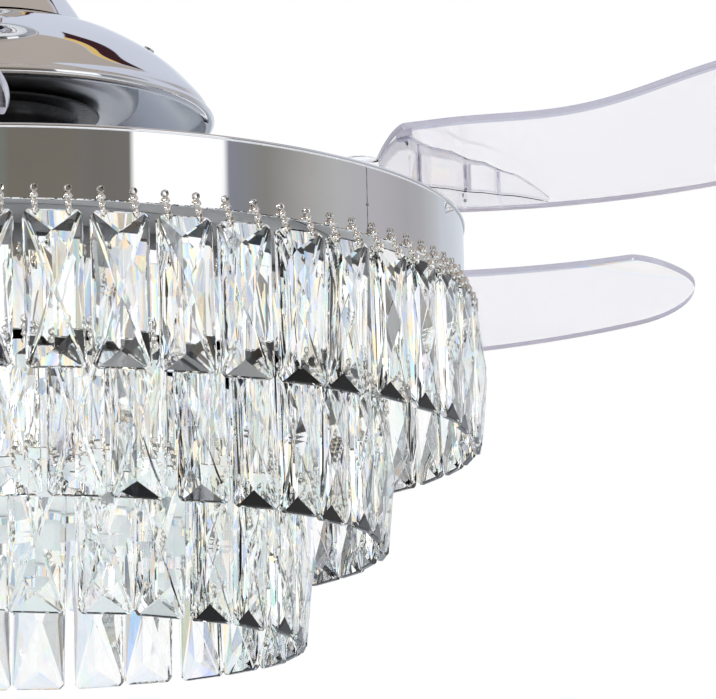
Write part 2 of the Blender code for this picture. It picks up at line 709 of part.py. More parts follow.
def make_spring():
    """The flat-wound return spring round the hub, over the sync gear."""
    curve = bpy.data.curves.new("return_spring", "CURVE")
    curve.dimensions = "3D"
    curve.bevel_depth = SPRING_WIRE / 2
    curve.bevel_resolution = 1
    curve.use_fill_caps = True
    line = curve.splines.new("POLY")
    count = SPRING_TURNS * SPRING_POINTS + 1
    line.points.add(count - 1)
    low = band_height(GEAR_LOW + GEAR_THICK + GAP + SPRING_WIRE / 2)
    for index in range(count):
        turn = index * 2 * math.pi / SPRING_POINTS
        x, y = around(SPRING_RADIUS, turn)
        line.points[index].co = (x, y, low + SPRING_PITCH * turn / (2 * math.pi), 1)
    obj = bpy.data.objects.new("return_spring", curve)
    PARTS.objects.link(obj)
    colour, roughness, metallic = COLOURS["steel"]
    curve.materials.append(new_material("return_spring", colour, roughness, metallic))
    print("return spring: least gap between turns", round(SPRING_PITCH - SPRING_WIRE, 5), "m")


# Blades: drawn folded, with the fan's axis at the object's origin and the pivot at +X

def sag(turn):
    """How far the inner edge sags at a turn, and how fast that changes."""
    share = (turn - SAG_START) / SAG_REACH
    if not 0 < share < 1:
        return 0, 0
    climb = SAG_DEPTH * math.pi / SAG_REACH * math.sin(2 * math.pi * share)
    return SAG_DEPTH * math.sin(math.pi * share) ** 2, climb


def edge_heights(turn):
    """Heights of the blade's inner and outer edge."""
    inner, outer = [start + rise * turn + bend * turn * turn
                    for start, rise, bend in (BLADE_INNER_LINE, BLADE_OUTER_LINE)]
    return inner - sag(turn)[0], outer


def blade_height(radius, turn):
    """Height of the blade's middle surface."""
    inner, outer = edge_heights(turn)
    share = (radius - BLADE_INNER) / (BLADE_OUTER - BLADE_INNER)
    bow = 4 * BLADE_CROWN * share * (1 - share)
    return inner + (outer - inner) * share + bow


def blade_slopes(radius, turn):
    """How fast the middle surface rises outwards, and along the arc."""
    inner, outer = edge_heights(turn)
    share = (radius - BLADE_INNER) / (BLADE_OUTER - BLADE_INNER)
    bow = 4 * BLADE_CROWN * (1 - 2 * share)
    climbs = [rise + 2 * bend * turn for _, rise, bend in (BLADE_INNER_LINE, BLADE_OUTER_LINE)]
    climbs[0] -= sag(turn)[1]
    climb = climbs[0] + (climbs[1] - climbs[0]) * share
    return (outer - inner + bow) / (BLADE_OUTER - BLADE_INNER), climb / radius


def blade_normal(radius, turn):
    out, along = blade_slopes(radius, turn)
    x, y = around(1, -turn)
    return Vector((-out * x - along * y, -out * y + along * x, 1)).normalized()


def swept_sheet(name, inner, outer, sink, first_facet, last_facet, thick, look, parent):
    """A sheet that follows the blade, a distance under it, between two radii and over an arc."""
    steps = last_facet - first_facet

    def build(work):
        bmesh.ops.create_grid(work, x_segments=SHEET_STRIPS, y_segments=steps, size=0.5)
        for point in work.verts:
            radius = inner + (outer - inner) * (point.co.x + 0.5)
            turn = (steps * (point.co.y + 0.5) + first_facet) * FACET
            x, y = around(radius, -turn)
            point.co = (x, y, blade_height(radius, turn) - sink)
    obj = add(name, mesh_of(name, build), look, (-PIVOT_RADIUS, 0, BAND_TOP), parent=parent)
    solid = obj.modifiers.new("Solidify", "SOLIDIFY")
    solid.thickness = thick
    solid.offset = 0
    return obj


def end_round(inner, outer, peak_share, extreme, inner_reach, outer_reach):
    """An end of the blade from its inner edge to its outer one: two quarter ellipses (radius, turn)."""
    peak = inner + (outer - inner) * peak_share
    count = 7
    leans = [math.pi / 2 * step / count for step in range(count + 1)]
    first = [(peak - (peak - inner) * math.cos(lean), extreme - inner_reach * (1 - math.sin(lean)))
             for lean in leans]
    second = [(outer - (outer - peak) * (1 - math.sin(lean)),
               extreme - outer_reach * (1 - math.cos(lean))) for lean in leans[1:]]
    return first + second


def blade_outline(inner, outer):
    """Plan of a blade, anticlockwise, from the inner edge's tip end."""
    tip = end_round(inner, outer, TIP_PEAK_SHARE, TIP_TURN, TIP_INNER, TIP_OUTER)
    root = end_round(inner, outer, ROOT_PEAK_SHARE, ROOT_TURN, -ROOT_INNER, -ROOT_OUTER)
    count = 24
    arcs = []
    for (radius, start), (_, end) in ((tip[-1], root[-1]), (root[0], tip[0])):
        arcs.append([(radius, start + (end - start) * step / count) for step in range(1, count)])
    places = tip + arcs[0] + root[::-1] + arcs[1]
    return [around(radius, -turn) for radius, turn in places]


def make_blade(number, axis, screw_holes):
    blade = swept_sheet(f"blade_{number}", BLADE_INNER, BLADE_OUTER, 0, 0, SHEET_ARC_FACETS,
                        BLADE_THICK, "clear_plastic", axis)
    reach = BLADE_THICK
    outline = blade_outline(BLADE_INNER - reach, BLADE_OUTER + reach)
    trim = plate(f"blade_trim_{number}", outline, BAND_TOP - BLADE_OUTER, 0, "clear_plastic",
                 place=(-PIVOT_RADIUS, 0, 0), parent=axis)
    boolean(blade, as_cutter(trim), "INTERSECT")
    for hole in screw_holes:
        boolean(blade, hole)


def holder_sink():
    """Vertical distance from the blade's middle surface to the holder's."""
    across = (BLADE_THICK + HOLDER_THICK) / 2 + GAP
    out, along = blade_slopes(BLADE_OUTER, HOLDER_LAST_FACET * FACET)
    steepest = blade_slopes(BLADE_INNER, 0)[1]
    return across * math.hypot(1, out, max(along, steepest))


def rib_mesh(name):
    """Three upright webs under the holder, deepest at the inner end."""
    inner, outer = BLADE_INNER + HOLDER_EDGE * 2, BLADE_OUTER - HOLDER_EDGE * 2
    sink = holder_sink()

    def build(work):
        for turn in RIB_TURNS:
            top = blade_height(outer, turn) - sink
            corners = ((inner, blade_height(inner, turn) - sink), (outer, top),
                       (outer, top - RIB_DEPTH), (inner, RIB_FLOOR))
            points = [work.verts.new((r, -RIB_THICK / 2, z)) for r, z in corners]
            face = work.faces.new(points)
            grown = bmesh.ops.extrude_face_region(work, geom=[face], use_keep_orig=True)
            far = [item for item in grown["geom"] if isinstance(item, bmesh.types.BMVert)]
            bmesh.ops.translate(work, vec=(0, RIB_THICK, 0), verts=far)
            turned = Matrix.Rotation(-turn, 3, "Z")
            bmesh.ops.rotate(work, cent=(0, 0, 0), matrix=turned, verts=points + far)
        bmesh.ops.recalc_face_normals(work, faces=work.faces)
    return mesh_of(name, build)


def make_holder(number, axis, screw_holes):
    """The moulded root that the blade is screwed to: plate, ribs and pivot boss in one piece."""
    inner, outer = BLADE_INNER + HOLDER_EDGE, BLADE_OUTER - HOLDER_EDGE
    holder = swept_sheet(f"blade_holder_{number}", inner, outer, holder_sink(),
                         HOLDER_FIRST_FACET, HOLDER_LAST_FACET, HOLDER_THICK, "clear_plastic",
                         axis)
    for hole in screw_holes:
        boolean(holder, hole)
    ribs = add(f"ribs_join_{number}", rib_mesh(f"ribs_{number}"), "clear_plastic",
               place=(-PIVOT_RADIUS, 0, BAND_TOP), parent=axis)
    boolean(holder, as_cutter(ribs), "UNION")
    boss_low = band_height(GEAR_LOW + GEAR_THICK + GAP)
    corners = [around(PIVOT_RADIUS + reach, -turn) for reach, turn in TONGUE]
    tongue = plate(f"tongue_join_{number}", corners, boss_low, boss_low + TONGUE_THICK,
                   "clear_plastic", place=(-PIVOT_RADIUS, 0, 0), parent=axis)
    boolean(holder, as_cutter(tongue), "UNION")
    boss = rod(f"boss_join_{number}", BOSS_RADIUS, boss_low, band_height(BOSS_TOP),
               "clear_plastic", SMALL_STEPS, parent=axis)
    boolean(holder, as_cutter(boss), "UNION")
    bore = rod(f"boss_bore_{number}", running_bore(PIN_RADIUS, SMALL_STEPS), boss_low - OVERRUN,
               band_height(PIN_TOP + GAP), "clear_plastic", SMALL_STEPS, parent=axis)
    boolean(holder, as_cutter(bore))


def make_blade_screws(number, axis):
    """The screws that hold a blade to its holder, and the cutters for their holes."""
    holes = []
    for count, (share, turn) in enumerate(BLADE_SCREW_PLACES, 1):
        radius = BLADE_INNER + BLADE_WIDTH * share
        x, y = around(radius, -turn)
        height = band_height(blade_height(radius, turn))
        place = (x - PIVOT_RADIUS, y, height)
        head = BLADE_THICK / 2 + GAP
        deep = BLADE_THICK / 2 + HOLDER_THICK + 2 * GAP
        shape = ((0, head + BLADE_SCREW_DEEP), (BLADE_SCREW_HEAD, head + BLADE_SCREW_DEEP),
                 (BLADE_SCREW_HEAD, head), (BLADE_SCREW_RADIUS, head), (BLADE_SCREW_RADIUS, -deep),
                 (0, -deep))
        screw = lathe(f"blade_screw_{number}{'ab'[count - 1]}", shape, "steel", SMALL_STEPS,
                      closed=False, place=place, parent=axis)
        hole = rod(f"screw_hole_{number}_{count}", BLADE_SCREW_RADIUS + GAP, -deep - OVERRUN,
                   head + OVERRUN, "steel", SMALL_STEPS, place=place, parent=axis)
        for piece in (screw, hole):
            piece.rotation_euler = blade_normal(radius, turn).to_track_quat("Z", "Y").to_euler()
        holes.append(as_cutter(hole))
    return holes


def make_pinion(number, axis):
    low, high = band_height(GEAR_LOW), band_height(GEAR_LOW + GEAR_THICK)
    # At rest the blade is turned open, so the gear is turned back to mesh with the sync gear.
    start = math.pi - OPEN_TURN + math.pi / PINION_TEETH
    kept = {step % PINION_TEETH
            for step in range(-MESH_TEETH, meeting_teeth(PINION_TEETH) + MESH_TEETH)}
    outline = gear_outline(PINION_TEETH, kept, start, 2)
    pinion = plate(f"pinion_{number}", outline, low, high, "steel", parent=axis)
    seat_low = band_height(CARRIER_LOW + CARRIER_THICK + GAP)
    seat = rod(f"pinion_seat_{number}", GEAR_SEAT, seat_low, (low + high) / 2, "steel",
               SMALL_STEPS, parent=axis)
    boolean(pinion, as_cutter(seat), "UNION")
    bore = rod(f"pinion_bore_{number}", running_bore(PIN_RADIUS, SMALL_STEPS), seat_low - OVERRUN,
               high + OVERRUN, "steel", SMALL_STEPS, parent=axis)
    boolean(pinion, as_cutter(bore))


def make_pivot_pin(number, x, y):
    head = CARRIER_LOW - GAP
    shape = ((0, PIN_TOP), (PIN_RADIUS, PIN_TOP), (PIN_RADIUS, head), (PIN_HEAD_RADIUS, head),
             (PIN_HEAD_RADIUS, head - PIN_HEAD_THICK), (0, head - PIN_HEAD_THICK))
    lathe(f"pivot_pin_{number}", [(r, band_height(z)) for r, z in shape], "steel", SMALL_STEPS,
          closed=False, place=(x, y, 0))


def make_blades():
    for index in range(BLADES):
        number = index + 1
        turn = pivot_turn(index)
        x, y = around(PIVOT_RADIUS, turn)
        axis = bpy.data.objects.new(f"blade_axis_{number}", None)
        PARTS.objects.link(axis)
        axis.location = (x, y, 0)
        axis.rotation_euler.z = turn + OPEN_TURN
        screw_holes = make_blade_screws(number, axis)
        make_blade(number, axis, screw_holes)
        make_holder(number, axis, screw_holes)
        make_pinion(number, axis)
        make_pivot_pin(number, x, y)


# Lamp: plate, bands, light board and crystals

def make_lamp_plate():
    plate_low = PLATE_TOP - LAMP_PLATE_THICK
    edge = TIERS[0][1] - BAND_WALL - PLATE_CLEAR
    ring("lamp_plate", SHAFT_RADIUS + GAP, edge, band_height(plate_low), band_height(PLATE_TOP),
         "white_paint", SHOWN_STEPS)
    nut_high = plate_low - GAP
    corners = [around(NUT_RADIUS, side * math.pi / 3) for side in range(6)]
    nut = plate("lamp_nut", corners, band_height(nut_high - NUT_THICK), band_height(nut_high),
                "steel")
    bore = rod("nut_bore", SHAFT_RADIUS + GAP, band_height(nut_high - NUT_THICK - OVERRUN),
               band_height(nut_high + OVERRUN), "steel")
    boolean(nut, as_cutter(bore))
    ring("led_board", BOARD_INNER, BOARD_OUTER, band_height(nut_high - BOARD_THICK),
         band_height(nut_high), "board")
    length, width, height = DRIVER_SIZE
    box("led_driver", DRIVER_SIZE, "white_paint",
        (0, DRIVER_OFFSET, band_height(nut_high - height / 2)))


def first_turn(first):
    """A turn counted from -Y towards +X, as an angle about +Z from +X."""
    return first - math.pi / 2


def hook_turns(count, first):
    """Where a tier's hangers pass through its band."""
    return [first_turn(first) + step * 2 * math.pi / count for step in range(0, count, HOOK_EVERY)]


def hook_cutter(name, radius, height, turns):
    """One mesh holding a square hole for each hanger."""
    def build(work):
        for turn in turns:
            hole = bmesh.ops.create_cube(work, size=1)["verts"]
            size = (2 * OVERRUN, HOOK_HOLE, HOOK_HOLE)
            bmesh.ops.scale(work, vec=Vector(size), verts=hole)
            bmesh.ops.translate(work, vec=(radius, 0, height), verts=hole)
            bmesh.ops.rotate(work, cent=(0, 0, 0), matrix=Matrix.Rotation(turn, 3, "Z"), verts=hole)
    return as_cutter(add(name, mesh_of(name, build), "steel"))


def make_band(index):
    """A chrome band: the outer one stands on the plate by a ledge, the others hang from a flange."""
    name, radius, low, count, first = TIERS[index]
    inner = radius - BAND_WALL
    if index == 0:
        ledge_low = PLATE_TOP + GAP
        ledge = inner - LEDGE_WIDTH
        bead = BAND_BEAD
        shape = ((inner, 0), (radius, 0), (radius + bead, -bead), (radius, -2 * bead),
                 (radius, low), (inner, low), (inner, ledge_low), (ledge, ledge_low),
                 (ledge, ledge_low + LEDGE_THICK), (inner, ledge_low + LEDGE_THICK))
    else:
        top = PLATE_TOP - LAMP_PLATE_THICK - GAP
        flange = inner - LEDGE_WIDTH
        shape = [(flange, top), (radius, top), (radius, low), (inner, low)]
        if index == len(TIERS) - 1:
            rest = low + DIFFUSER_LIFT
            shape += [(inner, rest), (flange, rest), (flange, rest + LEDGE_THICK),
                      (inner, rest + LEDGE_THICK)]
        shape += [(inner, top - LEDGE_THICK), (flange, top - LEDGE_THICK)]
    band = lathe(f"{name}_band", [(r, band_height(z)) for r, z in shape], "chrome", SHOWN_STEPS)
    holes = hook_cutter(f"{name}_hooks", radius, band_height(low + HOOK_HEIGHT),
                        hook_turns(count, first))
    boolean(band, holes)


def prism_shape(work, radius, top, turn):
    """One flat prism: a clipped rectangle whose two faces rise to a point at the middle."""
    half, corner, length = PRISM_WIDTH / 2, PRISM_CORNER, PRISM_LENGTH
    outline = ((-half, top - corner), (-half + corner, top), (half - corner, top),
               (half, top - corner), (half, top - length), (-half, top - length))
    faces = []
    rim = []
    for x in (-PRISM_EDGE / 2, PRISM_EDGE / 2):
        points = [work.verts.new((radius + x, y, z)) for y, z in outline]
        rim.append(points)
        faces.append(work.faces.new(points))
    for index, point in enumerate(rim[0]):
        after = (index + 1) % len(outline)
        work.faces.new((point, rim[0][after], rim[1][after], rim[1][index]))
    verts = rim[0] + rim[1]
    for face, side in zip(faces, (-1, 1)):
        centre = bmesh.ops.poke(work, faces=[face])["verts"]
        centre[0].co = (radius + side * PRISM_THICK / 2, 0, top - length / 2)
        verts += centre
    bmesh.ops.rotate(work, cent=(0, 0, 0), matrix=Matrix.Rotation(turn, 3, "Z"), verts=verts)


def hanger_shape(work, back, radius, height, foot, turn):
    """A wire that starts behind the band, passes its hole and turns down to the tier's ring."""
    half = WIRE / 2
    outline = ((back, height + half), (radius + half, height + half), (radius + half, foot),
               (radius - half, foot), (radius - half, height - half), (back, height - half))
    points = [work.verts.new((r, -half, z)) for r, z in outline]
    face = work.faces.new(points)
    grown = bmesh.ops.extrude_face_region(work, geom=[face], use_keep_orig=True)
    far = [item for item in grown["geom"] if isinstance(item, bmesh.types.BMVert)]
    bmesh.ops.translate(work, vec=(0, WIRE, 0), verts=far)
    turned = Matrix.Rotation(turn, 3, "Z")
    bmesh.ops.rotate(work, cent=(0, 0, 0), matrix=turned, verts=points + far)


def make_crystals(index):
    """One tier: prisms threaded on a wire ring, and the hangers that hook it to the band."""
    name, radius, low, count, first = TIERS[index]
    height = band_height(low + HOOK_HEIGHT)
    hang = radius + HANG_OUT
    top = band_height(low - PRISM_DROP)
    start = first_turn(first)

    def build_hangers(work):
        for turn in hook_turns(count, first):
            hanger_shape(work, radius - BAND_WALL - HOOK_REACH, hang, height, top - WIRE, turn)
        bmesh.ops.recalc_face_normals(work, faces=work.faces)

    def build_prisms(work):
        for step in range(count):
            prism_shape(work, hang, top, start + step * 2 * math.pi / count)
        bmesh.ops.recalc_face_normals(work, faces=work.faces)
    tier = ring(f"{name}_crystals", hang - WIRE / 2, hang + WIRE / 2, top - WIRE * 3 / 4,
                top + WIRE / 4, "crystal", count)
    tier.rotation_euler.z = start + math.pi / count
    prisms = add(f"{name}_prisms", mesh_of(f"{name}_prisms", build_prisms), "crystal")
    boolean(tier, as_cutter(prisms), "UNION")
    hangers = add(f"{name}_hangers", mesh_of(f"{name}_hangers", build_hangers), "crystal")
    boolean(tier, as_cutter(hangers), "UNION")


def make_diffuser():
    _, radius, low, _, _ = TIERS[-1]
    floor = low + DIFFUSER_LIFT + LEDGE_THICK + GAP
    edge = (radius - BAND_WALL) * math.cos(math.pi / SHOWN_STEPS) - GAP
    rod("diffuser", edge, band_height(floor), band_height(floor + DIFFUSER_THICK), "frosted")


clear_scene()
PARTS = new_collection("chandelier_ceiling_fan")
CUTTERS = new_collection("cutters")
make_bracket()
make_ball()
make_canopy()
make_receiver()
make_downrod()
make_yoke()
make_bell()
make_dome()
make_shaft()
make_stator()
make_rotor()
make_dish_screws()
make_hub()
make_carrier()
make_sync_gear()
make_spring()
make_blades()
make_lamp_plate()
for tier_index in range(len(TIERS)):
    make_band(tier_index)
    make_crystals(tier_index)
make_diffuser()
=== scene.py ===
import math

import bmesh
import bpy
from mathutils import Matrix, Vector


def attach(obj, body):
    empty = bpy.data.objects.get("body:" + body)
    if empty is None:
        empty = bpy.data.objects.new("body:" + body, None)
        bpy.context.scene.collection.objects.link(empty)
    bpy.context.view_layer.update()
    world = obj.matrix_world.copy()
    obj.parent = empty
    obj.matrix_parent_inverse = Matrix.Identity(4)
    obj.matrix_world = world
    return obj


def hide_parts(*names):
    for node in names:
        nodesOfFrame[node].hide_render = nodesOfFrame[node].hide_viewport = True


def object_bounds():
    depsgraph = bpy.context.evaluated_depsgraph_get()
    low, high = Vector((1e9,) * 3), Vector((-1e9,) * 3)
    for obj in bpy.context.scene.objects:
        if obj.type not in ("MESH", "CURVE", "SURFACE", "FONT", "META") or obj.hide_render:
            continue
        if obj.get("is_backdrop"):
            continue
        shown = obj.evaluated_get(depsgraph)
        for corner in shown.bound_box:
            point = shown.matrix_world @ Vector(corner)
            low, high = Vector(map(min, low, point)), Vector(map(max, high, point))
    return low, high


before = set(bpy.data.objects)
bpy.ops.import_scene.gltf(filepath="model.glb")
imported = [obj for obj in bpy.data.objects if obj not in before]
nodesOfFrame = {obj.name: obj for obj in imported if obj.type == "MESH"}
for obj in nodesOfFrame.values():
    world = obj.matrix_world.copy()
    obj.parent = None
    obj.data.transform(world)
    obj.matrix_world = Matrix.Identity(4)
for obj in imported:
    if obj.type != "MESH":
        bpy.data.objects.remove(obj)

# Chandelier ceiling fan: everything that shows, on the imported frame.
# Metres, ceiling at z = 0, the fan's axis on z. Heights are over the outer band's top edge.

cadLow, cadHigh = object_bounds()
scene = bpy.context.scene
bandTop = -0.340

tiers = (
    {"name": "outer", "radius": 0.2500, "low": -0.0368, "count": 49, "first": 6.5, "seed": 3},
    {"name": "middle", "radius": 0.2020, "low": -0.0900, "count": 40, "first": 11.2, "seed": 11},
    {"name": "inner", "radius": 0.1565, "low": -0.1400, "count": 31, "first": 7.9, "seed": 23},
)


def atBand(height):
    return bandTop + height


def report(words):
    print("stage:", words)


# meshes and pieces

def meshObject(name, mesh, material):
    obj = bpy.data.objects.new(name, mesh)
    scene.collection.objects.link(obj)
    obj.data.materials.clear()
    obj.data.materials.append(material)
    return obj


def settle(obj, body, slotName, *replaced):
    # rides on its body and hides the nodes it stands for
    if replaced:
        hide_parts(*replaced)
    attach(obj, body)
    return obj


def smooth(mesh, degrees=32):
    mesh.shade_smooth()
    mesh.set_sharp_from_angle(angle=math.radians(degrees))


def meshOf(work, name, outwards=True):
    # the shape being built as a finished mesh
    if outwards:
        bmesh.ops.recalc_face_normals(work, faces=work.faces)
    mesh = bpy.data.meshes.new(name)
    work.to_mesh(mesh)
    work.free()
    return mesh


def sweep(whole, steps):
    # evenly spaced angles from nothing to the whole
    return [whole * step / steps for step in range(steps + 1)]


def turned(name, profile, material, steps, sharp=32):
    # solid of revolution from (radius, height) points, down the outer side and back up the inner
    verts, rings = [], []
    for radius, height in profile:
        if radius < 1e-7:
            rings.append([len(verts)])
            verts.append((0, 0, height))
            continue
        rings.append(range(len(verts), len(verts) + steps))
        for step in range(steps):
            turn = step * 2 * math.pi / steps
            verts.append((radius * math.cos(turn), radius * math.sin(turn), height))
    faces = []
    closed = profile[0][0] > 1e-7 and profile[-1][0] > 1e-7
    pairs = list(zip(rings, rings[1:])) + ([(rings[-1], rings[0])] if closed else [])
    for upper, lower in pairs:
        for step in range(steps):
            after = (step + 1) % steps
            if len(upper) == 1:
                faces.append((upper[0], lower[step], lower[after]))
            elif len(lower) == 1:
                faces.append((upper[step], lower[0], upper[after]))
            else:
                faces.append((upper[step], lower[step], lower[after], upper[after]))
    mesh = bpy.data.meshes.new(name)
    mesh.from_pydata(verts, [], faces)
    smooth(mesh, sharp)
    return meshObject(name, mesh, material)


def spun(name, profile, material, steps, sharp=32):
    # the same, with the heights over the outer band's top edge
    return turned(name, [(radius, atBand(height)) for radius, height in profile], material, steps, sharp)


def smoothLine(points, perSpan):
    # an even curve through the points
    points = [Vector(point) for point in points]
    ends = [points[0] * 2 - points[1]] + points + [points[-1] * 2 - points[-2]]
    line = []
    for before, first, second, after in zip(ends, ends[1:], ends[2:], ends[3:]):
        for step in range(perSpan):
            t = step / perSpan
            line.append(0.5 * (2 * first + (second - before) * t
                               + (2 * before - 5 * first + 4 * second - after) * t * t
                               + (3 * first - before - 3 * second + after) * t ** 3))
    line.append(points[-1])
    return line


def wallOf(line, wall):
    # the same line one wall thickness further in
    inner = []
    for index, point in enumerate(line):
        along = (line[min(index + 1, len(line) - 1)] - line[max(index - 1, 0)]).normalized()
        inner.append(point + Vector((along.y, -along.x)) * wall)
    return inner


def roundedPath(corners, radius, steps):
    # a closed outline with all its corners rounded
    path = []
    for index, corner in enumerate(corners):
        before = Vector(corners[index - 1])
        after = Vector(corners[(index + 1) % len(corners)])
        here = Vector(corner)
        start = here + (before - here).normalized() * min(radius, (before - here).length / 2)
        end = here + (after - here).normalized() * min(radius, (after - here).length / 2)
        for step in range(steps + 1):
            t = step / steps
            path.append((1 - t) ** 2 * start + 2 * t * (1 - t) * here + t * t * end)
    return path


def plainMesh(obj):
    # the modifiers' result as a plain mesh on the same object
    bpy.context.view_layer.update()
    graph = bpy.context.evaluated_depsgraph_get()
    mesh = bpy.data.meshes.new_from_object(obj.evaluated_get(graph), depsgraph=graph)
    obj.modifiers.clear()
    obj.data = mesh
    return obj


# shader nodes and the groups that materials share

def newGroup(name, inputs, outputs):
    tree = bpy.data.node_groups.new(name, "ShaderNodeTree")
    for label, kind, value in inputs:
        made = tree.interface.new_socket(label, in_out="INPUT", socket_type=kind)
        made.default_value = value
    for label, kind in outputs:
        tree.interface.new_socket(label, in_out="OUTPUT", socket_type=kind)
    return tree, tree.nodes.new("NodeGroupInput"), tree.nodes.new("NodeGroupOutput")


def feed(tree, socket, value):
    # a link where the value comes from another node, or else the plain value
    if isinstance(value, bpy.types.NodeSocket):
        tree.links.new(value, socket)
    else:
        socket.default_value = value


def mathNode(tree, operation, first, second=None):
    node = tree.nodes.new("ShaderNodeMath")
    node.operation = operation
    for socket, value in zip(node.inputs, (first, second)):
        if value is not None:
            feed(tree, socket, value)
    return node.outputs[0]


def rangeNode(tree, value, low, high, toLow=0.0, toHigh=1.0):
    node = tree.nodes.new("ShaderNodeMapRange")
    node.interpolation_type = "SMOOTHSTEP"
    labels = ("Value", "From Min", "From Max", "To Min", "To Max")
    for label, given in zip(labels, (value, low, high, toLow, toHigh)):
        feed(tree, node.inputs[label], given)
    return node.outputs["Result"]


def mixColour(tree, factor, first, second, blend="MIX"):
    node = tree.nodes.new("ShaderNodeMix")
    node.data_type = "RGBA"
    node.blend_type = blend
    for index, value in ((0, factor), (6, first), (7, second)):
        feed(tree, node.inputs[index], value)
    return node.outputs[2]


def rampOf(tree, stops, factor):
    ramp = tree.nodes.new("ShaderNodeValToRGB")
    while len(ramp.color_ramp.elements) < len(stops):
        ramp.color_ramp.elements.new(0.5)
    for element, (spot, colour) in zip(ramp.color_ramp.elements, stops):
        element.position = spot
        element.color = colour + (1,)
    tree.links.new(factor, ramp.inputs["Fac"])
    return ramp.outputs["Color"]


def noiseNode(tree, coords, scale, detail, roughness, stretch=None):
    if stretch:
        mapping = tree.nodes.new("ShaderNodeMapping")
        tree.links.new(coords, mapping.inputs["Vector"])
        mapping.inputs["Scale"].default_value = stretch
        coords = mapping.outputs["Vector"]
    node = tree.nodes.new("ShaderNodeTexNoise")
    tree.links.new(coords, node.inputs["Vector"])
    for label, value in (("Scale", scale), ("Detail", detail), ("Roughness", roughness)):
        feed(tree, node.inputs[label], value)
    return node.outputs["Fac"]


def buildPolishGroup():
    # wiped metal: soft smears in the roughness, fine hairlines and a little waviness in the height
    tree, given, result = newGroup(
        "polishMarks",
        (("Clean", "NodeSocketFloat", 0.03), ("Smeared", "NodeSocketFloat", 0.09),
         ("Scale", "NodeSocketFloat", 14.0)),
        (("Roughness", "NodeSocketFloat"), ("Height", "NodeSocketFloat"), ("Mask", "NodeSocketFloat")))
    coords = tree.nodes.new("ShaderNodeTexCoord").outputs["Object"]
    smears = noiseNode(tree, coords, given.outputs["Scale"], 5.0, 0.6)
    hairs = noiseNode(tree, coords, 900.0, 2.0, 0.5, (1.0, 1.0, 0.12))
    mask = rangeNode(tree, smears, 0.42, 0.72)
    gain = mathNode(tree, "SUBTRACT", given.outputs["Smeared"], given.outputs["Clean"])
    rough = mathNode(tree, "ADD", given.outputs["Clean"], mathNode(tree, "MULTIPLY", mask, gain))
    height = mathNode(tree, "ADD", mathNode(tree, "MULTIPLY", hairs, 0.25), smears)
    for label, made in (("Roughness", rough), ("Height", height), ("Mask", mask)):
        tree.links.new(made, result.inputs[label])
    return tree


def buildGrainGroup():
    # painted, cast and moulded skins: fine orange peel, faint mottling and a little dust
    tree, given, result = newGroup(
        "skinGrain",
        (("Base", "NodeSocketColor", (0.5, 0.5, 0.5, 1)), ("Dusty", "NodeSocketColor", (0.6, 0.6, 0.6, 1)),
         ("Smooth", "NodeSocketFloat", 0.35), ("Dull", "NodeSocketFloat", 0.5),
         ("Scale", "NodeSocketFloat", 420.0)),
        (("Colour", "NodeSocketColor"), ("Roughness", "NodeSocketFloat"), ("Height", "NodeSocketFloat")))
    coords = tree.nodes.new("ShaderNodeTexCoord").outputs["Object"]
    fine = noiseNode(tree, coords, given.outputs["Scale"], 2.0, 0.5)
    broad = noiseNode(tree, coords, 26.0, 4.0, 0.6)
    patch = rangeNode(tree, broad, 0.45, 0.75, 0.0, 0.35)
    colour = mixColour(tree, patch, given.outputs["Base"], given.outputs["Dusty"])
    rough = rangeNode(tree, broad, 0.3, 0.75, given.outputs["Smooth"], given.outputs["Dull"])
    for label, made in (("Colour", colour), ("Roughness", rough), ("Height", fine)):
        tree.links.new(made, result.inputs[label])
    return tree


def buildPaintedFireGroup():
    # painted fire: small flecks of spectral colour painted over a clear base, standing for the coloured glints
    # that cut glass throws
    tree, given, result = newGroup(
        "crystalPaintedFire",
        (("Clear", "NodeSocketColor", (1, 1, 1, 1)), ("Shade", "NodeSocketColor", (0.9, 0.93, 0.92, 1)),
         ("Fire", "NodeSocketFloat", 0.5), ("Scale", "NodeSocketFloat", 60.0)),
        (("Colour", "NodeSocketColor"),))
    coords = tree.nodes.new("ShaderNodeTexCoord").outputs["Object"]
    hue = noiseNode(tree, coords, given.outputs["Scale"], 1.0, 0.5, (1.0, 1.0, 0.45))
    where = noiseNode(tree, coords, 95.0, 2.0, 0.6, (1.0, 1.0, 0.35))
    broad = noiseNode(tree, coords, 9.0, 1.0, 0.5)
    spectrum = ((0.30, (1.0, 0.52, 0.22)), (0.38, (1.0, 0.86, 0.45)), (0.45, (0.62, 1.0, 0.72)),
                (0.52, (0.45, 0.90, 1.0)), (0.60, (0.50, 0.58, 1.0)), (0.70, (1.0, 0.62, 0.95)))
    mask = mathNode(tree, "MULTIPLY", rangeNode(tree, where, 0.56, 0.64), given.outputs["Fire"])
    base = mixColour(tree, rangeNode(tree, broad, 0.35, 0.65), given.outputs["Clear"], given.outputs["Shade"])
    tree.links.new(mixColour(tree, mask, base, rampOf(tree, spectrum, hue)), result.inputs["Colour"])
    return tree


polishGroup = buildPolishGroup()
grainGroup = buildGrainGroup()
paintedFireGroup = buildPaintedFireGroup()


# materials

def newMaterial(name, settings):
    material = bpy.data.materials.new(name)
    material.use_nodes = True
    tree = material.node_tree
    shader = tree.nodes["Principled BSDF"]
    for label, value in settings.items():
        shader.inputs[label].default_value = value
    return material, tree, shader


def placeGroup(tree, group, values):
    node = tree.nodes.new("ShaderNodeGroup")
    node.node_tree = group
    for label, value in values.items():
        node.inputs[label].default_value = value
    return node


def addBump(tree, shader, height, strength, distance):
    bump = tree.nodes.new("ShaderNodeBump")
    bump.inputs["Strength"].default_value = strength
    bump.inputs["Distance"].default_value = distance
    tree.links.new(height, bump.inputs["Height"])
    tree.links.new(bump.outputs["Normal"], shader.inputs["Normal"])


